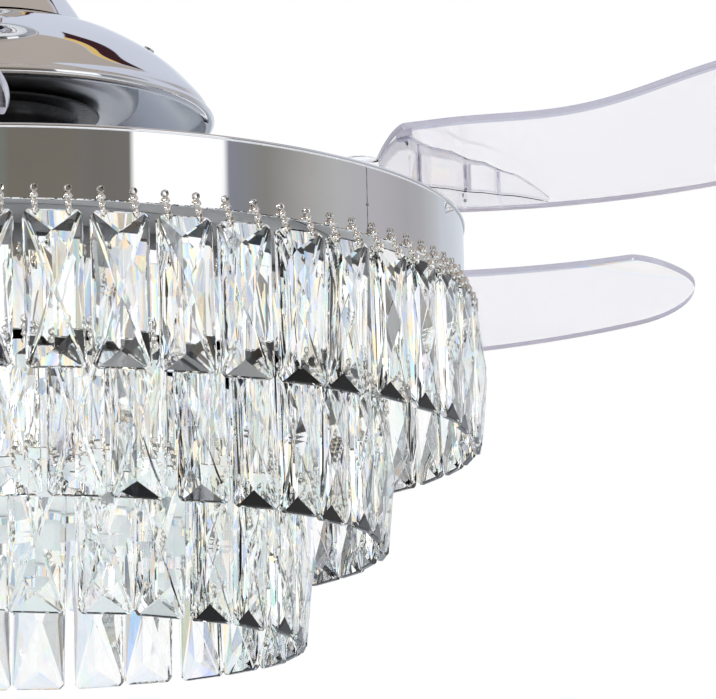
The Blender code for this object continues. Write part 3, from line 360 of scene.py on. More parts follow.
def metal(name, colour, clean, smeared, scale, strength, distance):
    material, tree, shader = newMaterial(name, {"Base Color": colour, "Metallic": 1.0})
    marks = placeGroup(tree, polishGroup, {"Clean": clean, "Smeared": smeared, "Scale": scale})
    smearShare = 0.94  # smeared metal is a little darker
    tint = mixColour(tree, marks.outputs["Mask"], colour, tuple(c * smearShare for c in colour[:3]) + (1,))
    tree.links.new(tint, shader.inputs["Base Color"])
    tree.links.new(marks.outputs["Roughness"], shader.inputs["Roughness"])
    addBump(tree, shader, marks.outputs["Height"], strength, distance)
    return material


def skin(name, colour, dusty, smoothness, dull, scale=420.0, strength=0.08, distance=0.0003, extra=None):
    material, tree, shader = newMaterial(name, {"Base Color": colour, **(extra or {})})
    values = {"Base": colour, "Dusty": dusty, "Smooth": smoothness, "Dull": dull, "Scale": scale}
    grain = placeGroup(tree, grainGroup, values)
    tree.links.new(grain.outputs["Colour"], shader.inputs["Base Color"])
    tree.links.new(grain.outputs["Roughness"], shader.inputs["Roughness"])
    addBump(tree, shader, grain.outputs["Height"], strength, distance)
    return material


def cutCrystal(name, clear, shade, paintedFire, scale):
    material, tree, shader = newMaterial(name, {"Roughness": 0.0, "IOR": 1.56, "Transmission Weight": 1.0})
    # painted glints: the spectral flecks go into the glass's own colour
    node = placeGroup(tree, paintedFireGroup, {"Clear": clear, "Shade": shade, "Fire": paintedFire, "Scale": scale})
    tree.links.new(node.outputs["Colour"], shader.inputs["Base Color"])
    return material


def clearPlastic(name, face, rim, bend, step=(0.0, 1.0), body=1.0):
    # a clear sheet with a faint tint, darker where its rim attribute says edge, and where it carries painted
    # shade: the blade's corner by the root and the root's wall
    material, tree, shader = newMaterial(name, {"IOR": bend, "Transmission Weight": 1.0})
    edge = tree.nodes.new("ShaderNodeAttribute")
    edge.attribute_name = "rim"
    coords = tree.nodes.new("ShaderNodeTexCoord").outputs["Object"]
    blotch = noiseNode(tree, coords, 7.0, 2.0, 0.5)
    milkShare = 0.985  # the faint clouds in the sheet
    milk = tuple(c * milkShare for c in face[:3]) + (1,)
    sheet = mixColour(tree, rangeNode(tree, blotch, 0.35, 0.7), face, milk)
    share = rangeNode(tree, edge.outputs["Fac"], step[0], step[1])
    tree.links.new(mixColour(tree, share, sheet, rim), shader.inputs["Base Color"])
    if body < 1:
        tree.links.new(rangeNode(tree, share, 0.0, 0.4, body, 1.0), shader.inputs["Alpha"])
    marks = placeGroup(tree, polishGroup, {"Clean": 0.0, "Smeared": 0.02, "Scale": 20.0})
    tree.links.new(marks.outputs["Roughness"], shader.inputs["Roughness"])
    addBump(tree, shader, blotch, 0.05, 0.0004)
    return material


chromeFinish = metal("mirrorChrome", (0.86, 0.865, 0.875, 1), 0.015, 0.045, 11.0, 0.02, 0.0001)
nickelFinish = metal("brightNickel", (0.86, 0.83, 0.78, 1), 0.05, 0.14, 160.0, 0.05, 0.0001)
steelFinish = metal("zincSteel", (0.60, 0.61, 0.62, 1), 0.22, 0.38, 60.0, 0.15, 0.0002)
satinDish = metal("satinDish", (0.74, 0.745, 0.75, 1), 0.30, 0.40, 30.0, 0.08, 0.0002)
copperFinish = metal("varnishedCopper", (0.66, 0.33, 0.17, 1), 0.25, 0.42, 120.0, 0.2, 0.0002)
blackPaint = skin("blackPowder", (0.012, 0.012, 0.013, 1), (0.03, 0.03, 0.03, 1), 0.22, 0.36)
blackGloss = skin("blackGloss", (0.010, 0.011, 0.012, 1), (0.02, 0.02, 0.022, 1), 0.08, 0.16)
whitePaint = skin("whitePowder", (0.82, 0.82, 0.81, 1), (0.74, 0.74, 0.72, 1), 0.32, 0.45)
boardFinish = skin("boardMask", (0.84, 0.84, 0.82, 1), (0.76, 0.76, 0.73, 1), 0.35, 0.5, 700.0)
chipFinish = skin("phosphorChip", (0.86, 0.72, 0.26, 1), (0.80, 0.66, 0.22, 1), 0.3, 0.45, 900.0)
terminalFinish = skin("blackMoulding", (0.02, 0.02, 0.022, 1), (0.05, 0.05, 0.05, 1), 0.4, 0.55)
frostFinish = skin("frostedSheet", (0.90, 0.90, 0.89, 1), (0.86, 0.86, 0.85, 1), 0.45, 0.6, 260.0, 0.25,
                   0.0005, {"Subsurface Weight": 0.3, "Subsurface Scale": 0.01})
seamFinish = skin("seamShadow", (0.13, 0.135, 0.11, 1), (0.19, 0.19, 0.16, 1), 0.4, 0.6)
crystalFinish = cutCrystal("cutCrystal", (1.0, 1.0, 1.0, 1), (0.965, 0.980, 0.972, 1), 0.32, 60.0)
bladeFinish = clearPlastic("clearBlade", (0.385, 0.32, 0.468, 1), (0.43, 0.42, 0.50, 1), 1.46,
                           (0.60, 0.72), 0.22)
edgeFinish = skin("bladeEdge", (0.40, 0.39, 0.465, 1), (0.50, 0.49, 0.57, 1), 0.10, 0.22, 60.0, 0.1, 0.0005,
                  {"Transmission Weight": 0.20, "IOR": 1.46, "Coat Weight": 0.6, "Coat Roughness": 0.05})
# the root's rim colour is the dark violet of the painted shade on its wall
rootFinish = clearPlastic("clearRoot", (0.955, 0.955, 0.965, 1), (0.26, 0.25, 0.33, 1), 1.09)
shellFinish = metal("satinShell", (0.76, 0.79, 0.83, 1), 0.24, 0.34, 12.0, 0.02, 0.0001)
report("materials made")


# camera, sky, lamps and floor

def buildCamera():
    lens = {"focal": 4424.7, "wide": 716, "sensor": 36.0, "place": (0.0, -2.2952, bandTop - 0.5133),
            "yaw": 0.0842, "pitch": 0.1937, "roll": -0.0215}
    yaw, pitch, roll = lens["yaw"], lens["pitch"], lens["roll"]
    forward = Vector((math.sin(yaw) * math.cos(pitch), math.cos(yaw) * math.cos(pitch), math.sin(pitch)))
    side = Vector((math.cos(yaw), -math.sin(yaw), 0))
    top = side.cross(forward)
    right = side * math.cos(roll) + top * math.sin(roll)
    up = -side * math.sin(roll) + top * math.cos(roll)
    data = bpy.data.cameras.new("photoCamera")
    data.sensor_fit = "HORIZONTAL"
    data.sensor_width = lens["sensor"]
    data.lens = lens["sensor"] * lens["focal"] / lens["wide"]
    data.clip_end = 50.0
    camera = bpy.data.objects.new("photoCamera", data)
    scene.collection.objects.link(camera)
    turn = Matrix((right, up, -forward)).transposed()
    camera.matrix_world = Matrix.Translation(lens["place"]) @ turn.to_4x4()
    scene.camera = camera


def sparkle(tree, direction):
    # what cut glass gathers from the room: bright and dark patches with coloured fringes
    patch = {"Scale": 3.1, "Randomness": 0.9}

    def cellsOf(feature):
        node = tree.nodes.new("ShaderNodeTexVoronoi")
        node.feature = feature
        for label, value in dict(patch, Vector=direction).items():
            feed(tree, node.inputs[label], value)
        return node
    split = tree.nodes.new("ShaderNodeSeparateColor")
    tree.links.new(cellsOf("F1").outputs["Color"], split.inputs[0])
    patches = rampOf(tree, ((0.0, (0.09, 0.09, 0.10)), (0.06, (0.18, 0.18, 0.19)), (0.08, (0.50, 0.50, 0.51)),
                            (0.17, (0.64, 0.65, 0.66)), (0.19, (0.72, 0.80, 0.94)), (0.32, (0.86, 0.92, 1.0)),
                            (0.34, (0.98, 0.99, 0.99)), (0.55, (1.2, 1.2, 1.19)), (1.0, (1.6, 1.6, 1.6))),
                     split.outputs[0])
    fringe = rampOf(tree, ((0.0, (1.0, 0.99, 0.98)), (0.018, (1.18, 0.84, 0.55)), (0.034, (1.1, 1.04, 0.70)),
                           (0.05, (0.70, 1.0, 0.92)), (0.066, (0.58, 0.75, 1.15)), (0.085, (0.96, 0.90, 1.0)),
                           (0.105, (1.0, 1.0, 1.0))), cellsOf("DISTANCE_TO_EDGE").outputs["Distance"])
    return mixColour(tree, 1.0, patches, fringe, "MULTIPLY")


def between(tree, value, first, second):
    # nothing at the first angle and one at the second, both in degrees
    return rangeNode(tree, value, math.radians(first), math.radians(second))


def lowRoom(tree, turn):
    # the room at the fan's height, by degrees round the fan from the camera's side
    room = (
        (-180, (0.80, 0.85, 0.92)), (-120, (0.60, 0.64, 0.70)), (-104, (0.42, 0.42, 0.42)),
        (-62, (0.30, 0.30, 0.33)), (-58, (1, 1, 1)), (-33, (1, 1, 1)), (-31.5, (0.13, 0.11, 0.09)),
        (-6, (0.16, 0.14, 0.115)), (-5, (0.20, 0.21, 0.187)), (3, (0.20, 0.21, 0.187)),
        (4, (0.195, 0.178, 0.15)), (20, (0.195, 0.178, 0.15)), (21, (0.19, 0.18, 0.165)),
        (24.0, (0.18, 0.17, 0.155)), (24.4, (0.08, 0.07, 0.06)), (25.0, (0.18, 0.17, 0.155)),
        (32.8, (0.19, 0.18, 0.165)), (33.8, (1.25, 1.25, 1.25)), (56, (1.25, 1.25, 1.25)),
        (57.5, (0.26, 0.27, 0.32)), (68, (0.27, 0.26, 0.24)), (80, (0.43, 0.42, 0.41)),
        (90, (0.50, 0.50, 0.50)), (105, (0.495, 0.477, 0.51)), (118, (0.435, 0.423, 0.435)),
        (126, (0.465, 0.46, 0.483)), (135, (0.57, 0.58, 0.61)), (139, (0.62, 0.65, 0.71)),
        (180, (0.80, 0.85, 0.92)),
    )
    around = mathNode(tree, "ADD", mathNode(tree, "DIVIDE", turn, 2 * math.pi), 0.5)
    return rampOf(tree, [(degrees / 360 + 0.5, colour) for degrees, colour in room], around)


def highRoom(tree, lift, wide):
    # the room above the fan: pale blue wall, a dark rail with a gilt edge, warm ceiling
    room = {"wall": (0.66, 0.69, 0.80, 1), "ceiling": (0.48, 0.425, 0.385, 1), "slope": 0.30, "base": 42,
            "ceilingFrom": (60, 61.5), "frontLift": (42, 46), "frontWide": (128, 120),
            "railFrom": (125, 128), "railTo": (252.5, 251), "railSlope": 1.65}
    strips = ({"from": (49, 50.2), "to": (57.8, 57.2), "colour": (0.05, 0.02, 0.024, 1)},
              {"from": (57.2, 57.8), "to": (61, 60), "colour": (0.80, 0.55, 0.18, 1)})
    front = mathNode(tree, "MULTIPLY", between(tree, lift, *room["frontLift"]),
                     between(tree, wide, *room["frontWide"]))
    tilted = mathNode(tree, "SUBTRACT", lift, mathNode(tree, "MULTIPLY", wide, room["slope"]))
    tilted = mathNode(tree, "ADD", tilted, math.radians(room["base"]))
    ending = mathNode(tree, "ADD", wide, mathNode(tree, "MULTIPLY", lift, room["railSlope"]))
    warm = mathNode(tree, "MAXIMUM", between(tree, tilted, *room["ceilingFrom"]), front)
    top = mixColour(tree, warm, room["wall"], room["ceiling"])
    reach = mathNode(tree, "MULTIPLY", between(tree, wide, *room["railFrom"]),
                     between(tree, ending, *room["railTo"]))
    for strip in strips:
        band = mathNode(tree, "MULTIPLY", between(tree, tilted, *strip["from"]),
                        between(tree, tilted, *strip["to"]))
        top = mixColour(tree, mathNode(tree, "MULTIPLY", band, reach), top, strip["colour"])
    return top


def buildSky():
    # a room with soft white panels round the fan: seen only in gloss and through clear pieces
    look = {"highFrom": (22, 27), "underFrom": (-4, -10), "underSides": (25, 40),
            "near": (0.06, 0.045, 0.04, 1), "far": (0.42, 0.45, 0.50, 1), "sparkleShare": 0.86,
            "straightFrom": (0.88, 0.95), "daylight": (0.86, 0.88, 0.92, 1), "backdrop": (1, 1, 1, 1)}
    world = bpy.data.worlds.new("studioSky")
    scene.world = world
    world.use_nodes = True
    tree = world.node_tree
    background = tree.nodes["Background"]
    direction = tree.nodes.new("ShaderNodeTexCoord").outputs["Generated"]
    split = tree.nodes.new("ShaderNodeSeparateXYZ")
    tree.links.new(direction, split.inputs[0])
    x, y, z = split.outputs
    turn = mathNode(tree, "ARCTAN2", x, mathNode(tree, "MULTIPLY", y, -1.0))
    wide = mathNode(tree, "ABSOLUTE", turn)
    lift = mathNode(tree, "ARCSINE", z)
    above = between(tree, lift, *look["highFrom"])
    seen = mixColour(tree, above, lowRoom(tree, turn), highRoom(tree, lift, wide))
    under = mixColour(tree, between(tree, wide, *look["underSides"]), look["near"], look["far"])
    seen = mixColour(tree, between(tree, lift, *look["underFrom"]), seen, under)
    path = tree.nodes.new("ShaderNodeLightPath")
    through = mathNode(tree, "GREATER_THAN", path.outputs["Transmission Depth"], 0.5)
    through = mathNode(tree, "MULTIPLY", through, look["sparkleShare"])
    seen = mixColour(tree, through, seen, sparkle(tree, direction))
    straight = mathNode(tree, "MULTIPLY", path.outputs["Is Transmission Ray"],
                        rangeNode(tree, y, *look["straightFrom"]))
    seen = mixColour(tree, straight, seen, look["backdrop"])
    soft = mixColour(tree, path.outputs["Is Diffuse Ray"], seen, look["daylight"])
    shown = mixColour(tree, path.outputs["Is Camera Ray"], soft, look["backdrop"])
    tree.links.new(shown, background.inputs["Color"])
    background.inputs["Strength"].default_value = 1.0


def buildLamps():
    lamps = (
        {"name": "keyPanel", "place": (-1.5, -2.1, 0.9), "size": 1.0, "power": 26, "gloss": True},
        {"name": "fillPanel", "place": (2.3, -1.7, 0.4), "size": 1.4, "power": 16, "gloss": False},
        {"name": "topPanel", "place": (0.2, 0.4, 1.9), "size": 1.8, "power": 26, "gloss": False},
        {"name": "lowPanel", "place": (0.6, -1.2, -1.9), "size": 1.0, "power": 7, "gloss": False},
    )
    target = Vector((0, 0, -0.42))
    for lamp in lamps:
        data = bpy.data.lights.new(lamp["name"], "AREA")
        data.size = lamp["size"]
        data.energy = lamp["power"]
        obj = bpy.data.objects.new(lamp["name"], data)
        scene.collection.objects.link(obj)
        obj.location = lamp["place"]
        obj.rotation_euler = (target - obj.location).to_track_quat("-Z", "Y").to_euler()
        obj.visible_glossy = lamp["gloss"]
        obj.visible_transmission = lamp["gloss"]


def buildFloor():
    half, drop, glowShare = 5, -2.3, 0.8
    material, tree, shader = newMaterial("paleFloor", {"Base Color": (0.9, 0.9, 0.9, 1), "Roughness": 0.8})
    path = tree.nodes.new("ShaderNodeLightPath")
    glow = tree.nodes.new("ShaderNodeEmission")
    mix = tree.nodes.new("ShaderNodeMixShader")
    share = mathNode(tree, "MULTIPLY", path.outputs["Is Camera Ray"], glowShare)
    tree.links.new(share, mix.inputs[0])
    tree.links.new(shader.outputs[0], mix.inputs[1])
    tree.links.new(glow.outputs[0], mix.inputs[2])
    tree.links.new(mix.outputs[0], tree.nodes["Material Output"].inputs["Surface"])
    mesh = bpy.data.meshes.new("floor")
    corners = [(x, y, drop) for x, y in ((-half, -half), (half, -half), (half, half), (-half, half))]
    mesh.from_pydata(corners, [], [(0, 1, 2, 3)])
    meshObject("floor", mesh, material)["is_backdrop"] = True


buildCamera()
buildSky()
buildLamps()
buildFloor()
scene.view_settings.view_transform = "Standard"
report("camera, sky and lamps set")


# geometry nodes: copies of a small piece round the fan's axis

def buildRingTree():
    tree = bpy.data.node_groups.new("ringOfPieces", "GeometryNodeTree")
    wanted = (("Piece", "NodeSocketObject"), ("Count", "NodeSocketInt"), ("Radius", "NodeSocketFloat"),
              ("First", "NodeSocketFloat"), ("Height", "NodeSocketFloat"), ("Sway", "NodeSocketFloat"),
              ("Seed", "NodeSocketInt"), ("Finish", "NodeSocketMaterial"))
    for label, kind in wanted:
        tree.interface.new_socket(label, in_out="INPUT", socket_type=kind)
    tree.interface.new_socket("Geometry", in_out="OUTPUT", socket_type="NodeSocketGeometry")
    given, result = tree.nodes.new("NodeGroupInput"), tree.nodes.new("NodeGroupOutput")

    def operate(operation, first, second=None):
        return mathNode(tree, operation, first, second)
    index = tree.nodes.new("GeometryNodeInputIndex").outputs[0]
    step = operate("DIVIDE", 2 * math.pi, given.outputs["Count"])
    turn = operate("ADD", given.outputs["First"], operate("MULTIPLY", index, step))
    spot = tree.nodes.new("ShaderNodeCombineXYZ")
    tree.links.new(operate("MULTIPLY", given.outputs["Radius"], operate("COSINE", turn)), spot.inputs[0])
    tree.links.new(operate("MULTIPLY", given.outputs["Radius"], operate("SINE", turn)), spot.inputs[1])
    tree.links.new(given.outputs["Height"], spot.inputs[2])
    points = tree.nodes.new("GeometryNodePoints")
    tree.links.new(given.outputs["Count"], points.inputs["Count"])
    tree.links.new(spot.outputs[0], points.inputs["Position"])
    tilt = tree.nodes.new("ShaderNodeCombineXYZ")
    for axis in range(3):
        chance = tree.nodes.new("FunctionNodeRandomValue")
        chance.data_type = "FLOAT"
        least, most = [s for s in chance.inputs if s.type == "VALUE" and s.enabled][:2]
        tree.links.new(operate("MULTIPLY", given.outputs["Sway"], -1.0), least)
        tree.links.new(given.outputs["Sway"], most)
        seed = operate("ADD", given.outputs["Seed"], float(axis * 17))
        tree.links.new(seed, chance.inputs["Seed"])
        value = [s for s in chance.outputs if s.type == "VALUE" and s.enabled][0]
        tree.links.new(operate("ADD", value, turn) if axis == 2 else value, tilt.inputs[axis])
    source = tree.nodes.new("GeometryNodeObjectInfo")
    tree.links.new(given.outputs["Piece"], source.inputs["Object"])
    copies = tree.nodes.new("GeometryNodeInstanceOnPoints")
    tree.links.new(points.outputs[0], copies.inputs["Points"])
    tree.links.new(source.outputs["Geometry"], copies.inputs["Instance"])
    tree.links.new(tilt.outputs[0], copies.inputs["Rotation"])
    real = tree.nodes.new("GeometryNodeRealizeInstances")
    finish = tree.nodes.new("GeometryNodeSetMaterial")
    tree.links.new(copies.outputs[0], real.inputs[0])
    tree.links.new(real.outputs[0], finish.inputs["Geometry"])
    tree.links.new(given.outputs["Finish"], finish.inputs["Material"])
    tree.links.new(finish.outputs[0], result.inputs[0])
    return tree


ringTree = buildRingTree()


def ringOf(name, piece, material, settings):
    obj = meshObject(name, bpy.data.meshes.new(name), material)
    modifier = obj.modifiers.new("ring", "NODES")
    modifier.node_group = ringTree
    values = dict(settings, Piece=piece, Finish=material)
    for item in ringTree.interface.items_tree:
        if item.in_out == "INPUT":
            modifier[item.identifier] = values[item.name]
    plainMesh(obj)
    bpy.data.objects.remove(piece)
    if not obj.data.materials:
        obj.data.materials.append(material)
    return obj


# crystals and their hooks

def prismPiece():
    # x points out from the fan, y along the band, z up from the prism's top edge
    cut = {"length": 0.0760, "half": 0.0144, "clip": 0.0026, "edge": 0.0011, "bevel": 0.0007,
           "shoulder": 0.0017, "peak": 0.0066, "nick": 0.0012, "sliver": (0.0108, 0.0030), "lean": 0.0012,
           "crest": (0.0098, 0.0056), "star": (0.0066, 0.0165, 0.0032), "backCrest": 0.62, "backStar": 1.18}
    length, middle = cut["length"], -cut["length"] / 2

    def outline(inset, clip):
        wide, top, low = cut["half"] - inset, -inset, -length + inset
        return ((-wide, top - clip), (-wide + clip, top), (wide - clip, top), (wide, top - clip),
                (wide, low + clip), (wide - clip, low), (-wide + clip, low), (-wide, low + clip))
    work = bmesh.new()
    levels = []
    for depth, inset, clip in ((-cut["shoulder"], cut["bevel"], cut["nick"]), (-cut["edge"], 0, cut["clip"]),
                               (cut["edge"], 0, cut["clip"]), (cut["shoulder"], cut["bevel"], cut["nick"])):
        levels.append([work.verts.new((depth, y, z)) for y, z in outline(inset, clip)])
    for lower, upper in zip(levels, levels[1:]):
        for index in range(8):
            after = (index + 1) % 8
            work.faces.new((lower[index], lower[after], upper[after], upper[index]))
    for level, side in ((levels[0], -1), (levels[-1], 1)):
        peak = work.verts.new((side * cut["peak"], 0, middle))
        lean = cut["lean"] * side
        for near, far in ((7, 0), (3, 4)):
            # a long narrow facet down each side, then two that climb to the middle
            across = -1 if near == 7 else 1
            sliver = work.verts.new((side * cut["sliver"][1], across * cut["sliver"][0], middle + lean))
            for corners in ((near, far, sliver), (near, sliver, peak), (sliver, far, peak)):
                work.faces.new([level[c] if isinstance(c, int) else c for c in corners])
        for first in (0, 4):
            # the ends: small stars that the front facets break up
            ends = [level[(first + n) % 8] for n in range(4)]
            up = 1 if first == 0 else -1
            crestShare, starShare = (1.0, 1.0) if side < 0 else (cut["backCrest"], cut["backStar"])
            reach, depth = cut["crest"]
            crest = work.verts.new((side * depth * crestShare, 0, middle + up * (length / 2 - reach)))
            wide, drop, sunk = cut["star"]
            stars = [work.verts.new((side * sunk * starShare, across * up * wide,
                                     middle + up * (length / 2 - drop))) for across in (-1, 1)]
            for corners in ((ends[0], ends[1], stars[0]), (ends[1], crest, stars[0]),
                            (ends[1], ends[2], crest), (ends[2], stars[1], crest),
                            (ends[2], ends[3], stars[1]), (ends[0], stars[0], peak),
                            (stars[0], crest, peak), (crest, stars[1], peak), (stars[1], ends[3], peak)):
                work.faces.new(corners)
    return meshObject("prismBlank", meshOf(work, "prismBlank"), crystalFinish)


def addTurned(work, profile, centre, sides, axis="Z"):
    # a small closed spindle, added to the mesh being built
    rings = []
    for radius, height in profile:
        if radius < 1e-7:
            rings.append([work.verts.new((0, 0, height))])
            continue
        turns = [2 * math.pi * n / sides for n in range(sides)]
        rings.append([work.verts.new((radius * math.cos(t), radius * math.sin(t), height)) for t in turns])
    for upper, lower in zip(rings, rings[1:]):
        for n in range(sides):
            after = (n + 1) % sides
            corners = [upper[0] if len(upper) == 1 else upper[n], lower[0] if len(lower) == 1 else lower[n]]
            corners += [lower[after]] if len(lower) > 1 else []
            corners += [upper[after]] if len(upper) > 1 else []
            work.faces.new(corners)
    verts = [vert for ring in rings for vert in ring]
    turn = Matrix.Rotation(math.pi / 2, 3, "Y") if axis == "X" else Matrix.Identity(3)
    for vert in verts:
        vert.co = turn @ vert.co + Vector(centre)
    return verts


def addRing(work, centre, major, minor, around=12, section=5):
    # a small wire eye that faces out from the fan
    loops = []
    for n in range(around):
        turn = 2 * math.pi * n / around
        loop = []
        for m in range(section):
            lean = 2 * math.pi * m / section
            reach = major + minor * math.cos(lean)
            spot = (minor * math.sin(lean), reach * math.cos(turn), reach * math.sin(turn))
            loop.append(work.verts.new([middle + away for middle, away in zip(centre, spot)]))
        loops.append(loop)
    for n in range(around):
        for m in range(section):
            after, beside = (n + 1) % around, (m + 1) % section
            work.faces.new((loops[n][m], loops[after][m], loops[after][beside], loops[n][beside]))


def hookPair():
    hook = {"spread": 0.00812, "eye": 0.00150, "wire": 0.00040, "eyeHeight": 0.0113, "eyeOut": -0.0029,
            "bead": 0.00200, "beadHalf": 0.0021, "beadHeights": (0.0074, 0.0032, -0.0006), "beadOut": -0.0019,
            "beadStep": 0.0016, "neck": 0.0007, "strapOut": 0.0026, "strapTop": 0.0012, "strapEnd": 0.0004,
            "shoulder": 0.0002, "pin": 0.0009, "pinHeight": -0.0026, "pinReach": 0.0031, "pinEnd": 0.0003}
    bead, half, neck, drop = hook["bead"], hook["beadHalf"], hook["neck"], hook["pinHeight"]
    beadLine = ((0, half), (neck, half), (bead * 0.72, half * 0.55), (bead, half * 0.1),
                (bead, -half * 0.15), (bead * 0.66, -half * 0.6), (neck, -half), (0, -half))
    strapLine = ((0, hook["strapTop"]), (neck, hook["strapTop"] - hook["shoulder"]), (neck, drop),
                 (0, drop - hook["strapEnd"]))
    reach, end = hook["pinReach"], hook["pinReach"] - hook["pinEnd"]
    pinLine = ((0, reach), (hook["pin"], end), (hook["pin"], -end), (0, -reach))
    work = bmesh.new()
    for spread in (-hook["spread"], hook["spread"]):
        addRing(work, (hook["eyeOut"], spread, hook["eyeHeight"]), hook["eye"], hook["wire"])
        for count, height in enumerate(hook["beadHeights"]):
            addTurned(work, beadLine, (hook["beadOut"] + hook["beadStep"] * count, spread, height), 8)
        for out in (-hook["strapOut"], hook["strapOut"]):
            addTurned(work, strapLine, (out, spread, 0), 5)
        addTurned(work, pinLine, (0, spread, drop), 6, "X")
    mesh = meshOf(work, "hookBlank")
    smooth(mesh, 50)
    return meshObject("hookBlank", mesh, nickelFinish)


def buildTier(tier):
    hang = {"out": 0.0035, "drop": 0.006, "sway": 1.8}
    settings = {"Count": tier["count"], "Radius": tier["radius"] + hang["out"],
                "First": math.radians(tier["first"] - 90), "Height": atBand(tier["low"] - hang["drop"]),
                "Seed": tier["seed"]}
    swaying = dict(settings, Sway=math.radians(hang["sway"]))
    crystals = ringOf(tier["name"] + "Prisms", prismPiece(), crystalFinish, swaying)
    crystals.visible_shadow = False  # clear glass lets the lamps in
    settle(crystals, "hanging", "crystal", tier["name"] + "_crystals")
    hooks = ringOf(tier["name"] + "Hooks", hookPair(), nickelFinish, dict(settings, Sway=0.0))
    settle(hooks, "hanging", "steel")


for tier in tiers:
    buildTier(tier)
report("crystals hung")


# bands, lamp plate and light

bandShape = {"wall": 0.0012, "bead": 0.0011, "bulge": 0.9, "ledge": 0.0120, "edgeHigh": 0.0004,
             "edgeIn": 0.0003, "gap": 0.0003, "plateTop": -0.0046, "plateThick": 0.0015,
             "plateRoom": 0.0008, "restRise": 0.0120}


def buildOuterBand():
    shape, radius, low = bandShape, tiers[0]["radius"], tiers[0]["low"]
    bead, inner = shape["bead"], radius - shape["wall"]
    roll = [(radius + bead * math.sin(t) * shape["bulge"], -bead + bead * math.cos(t))
            for t in sweep(math.pi, 8)[1:-1]]
    ledgeLow = shape["plateTop"] + shape["gap"]
    ledgeHigh, flange = ledgeLow + shape["wall"], inner - shape["ledge"]
    profile = [(inner, 0), (radius, 0)] + roll
    profile += [(radius, -2 * bead), (radius, low + shape["edgeHigh"]), (radius - shape["edgeIn"], low),
                (inner, low), (inner, ledgeLow), (flange, ledgeLow), (flange, ledgeHigh), (inner, ledgeHigh)]
    settle(spun("outerBandSkin", profile, chromeFinish, 384), "hanging", "chrome", "outer_band")


def buildInnerBand(tier, hasRest):
    # the bands behind the prisms; the lowest also has a ledge that the diffuser rests on
    shape, radius, low = bandShape, tier["radius"], tier["low"]
    wall, inner = shape["wall"], radius - shape["wall"]
    top, flange = shape["plateTop"] - shape["plateThick"] - shape["gap"], inner - shape["ledge"]
    profile = [(flange, top), (radius, top), (radius, low + shape["edgeHigh"]),
               (radius - shape["edgeIn"], low), (inner, low)]
    if hasRest:
        rest = low + shape["restRise"]
        profile += [(inner, rest), (flange, rest), (flange, rest + wall), (inner, rest + wall)]
    profile += [(inner, top - wall), (flange, top - wall)]
    band = spun(tier["name"] + "BandSkin", profile, chromeFinish, 320)
    settle(band, "hanging", "chrome", tier["name"] + "_band")


def buildSeam():
    # where the outer band's ends meet, with its small spot welds
    seam = {"turn": -90 + 48.0, "half": 0.00020, "waver": 0.5, "waves": 2.1, "proud": 0.00008,
            "top": -0.0024, "foot": 0.0006, "rows": 14, "welds": (0.56, 0.95)}
    weld = ((0, 0.0005), (0.0007, 0.0003), (0.0009, 0.0), (0, -0.0004))
    radius, turn, rows = tiers[0]["radius"] + seam["proud"], math.radians(seam["turn"]), seam["rows"]
    high, low = seam["top"], tiers[0]["low"] + seam["foot"]
    work = bmesh.new()
    out = Vector((math.cos(turn), math.sin(turn), 0))
    side = Vector((-math.sin(turn), math.cos(turn), 0))
    columns = []
    for row in range(rows + 1):
        height = atBand(high + (low - high) * row / rows)
        half = seam["half"] * (1 + seam["waver"] * math.sin(row * seam["waves"]))
        columns.append([work.verts.new(out * radius + side * (half * share) + Vector((0, 0, height)))
                        for share in (-1, 0, 1)])
    for upper, lower in zip(columns, columns[1:]):
        for n in range(2):
            work.faces.new((upper[n], lower[n], lower[n + 1], upper[n + 1]))
    lean = Matrix.Rotation(turn, 3, "Z") @ Matrix.Rotation(math.pi / 2, 3, "Y")
    for share in seam["welds"]:
        centre = out * radius + Vector((0, 0, atBand(high + (low - high) * share)))
        for vert in addTurned(work, weld, (0, 0, 0), 8):
            vert.co = lean @ vert.co + centre
    mesh = meshOf(work, "bandSeam", outwards=False)
    settle(meshObject("bandSeam", mesh, seamFinish), "hanging", "chrome")


def buildLampPlate():
    shape, hole = bandShape, 0.0098
    edge, corner = tiers[0]["radius"] - shape["wall"] - shape["plateRoom"], shape["edgeIn"]
    high, low = shape["plateTop"], shape["plateTop"] - shape["plateThick"]
    profile = ((hole, high), (edge - corner, high), (edge, high - corner), (edge, low), (hole, low))
    settle(spun("lampPlateSkin", profile, whitePaint, 256), "hanging", "white_metal", "lamp_plate")


def buildDiffuser():
    # a frosted sheet with fine rings pressed into its lower face
    shape, thick, ripple, rings = bandShape, 0.0025, 0.00025, 60
    floor = tiers[2]["low"] + shape["restRise"] + shape["wall"] + shape["gap"]
    rim = tiers[2]["radius"] - shape["wall"] - shape["plateRoom"]
    profile = [(0, floor + thick), (rim, floor + thick)]
    profile += [(rim * (1 - ring / rings), floor + ripple * (ring % 2)) for ring in range(rings)]
    profile.append((0, floor))
    sheet = spun("diffuserSheet", profile, frostFinish, 160, sharp=80)
    settle(sheet, "hanging", "diffuser", "diffuser")


def chipPiece():
    work = bmesh.new()
    bmesh.ops.create_cube(work, size=1)
    bmesh.ops.scale(work, vec=Vector((0.0028, 0.0035, 0.0008)), verts=work.verts)
    bmesh.ops.bevel(work, geom=work.edges[:], offset=0.0002, segments=1, affect="EDGES")
    return meshObject("chipBlank", meshOf(work, "chipBlank", outwards=False), chipFinish)


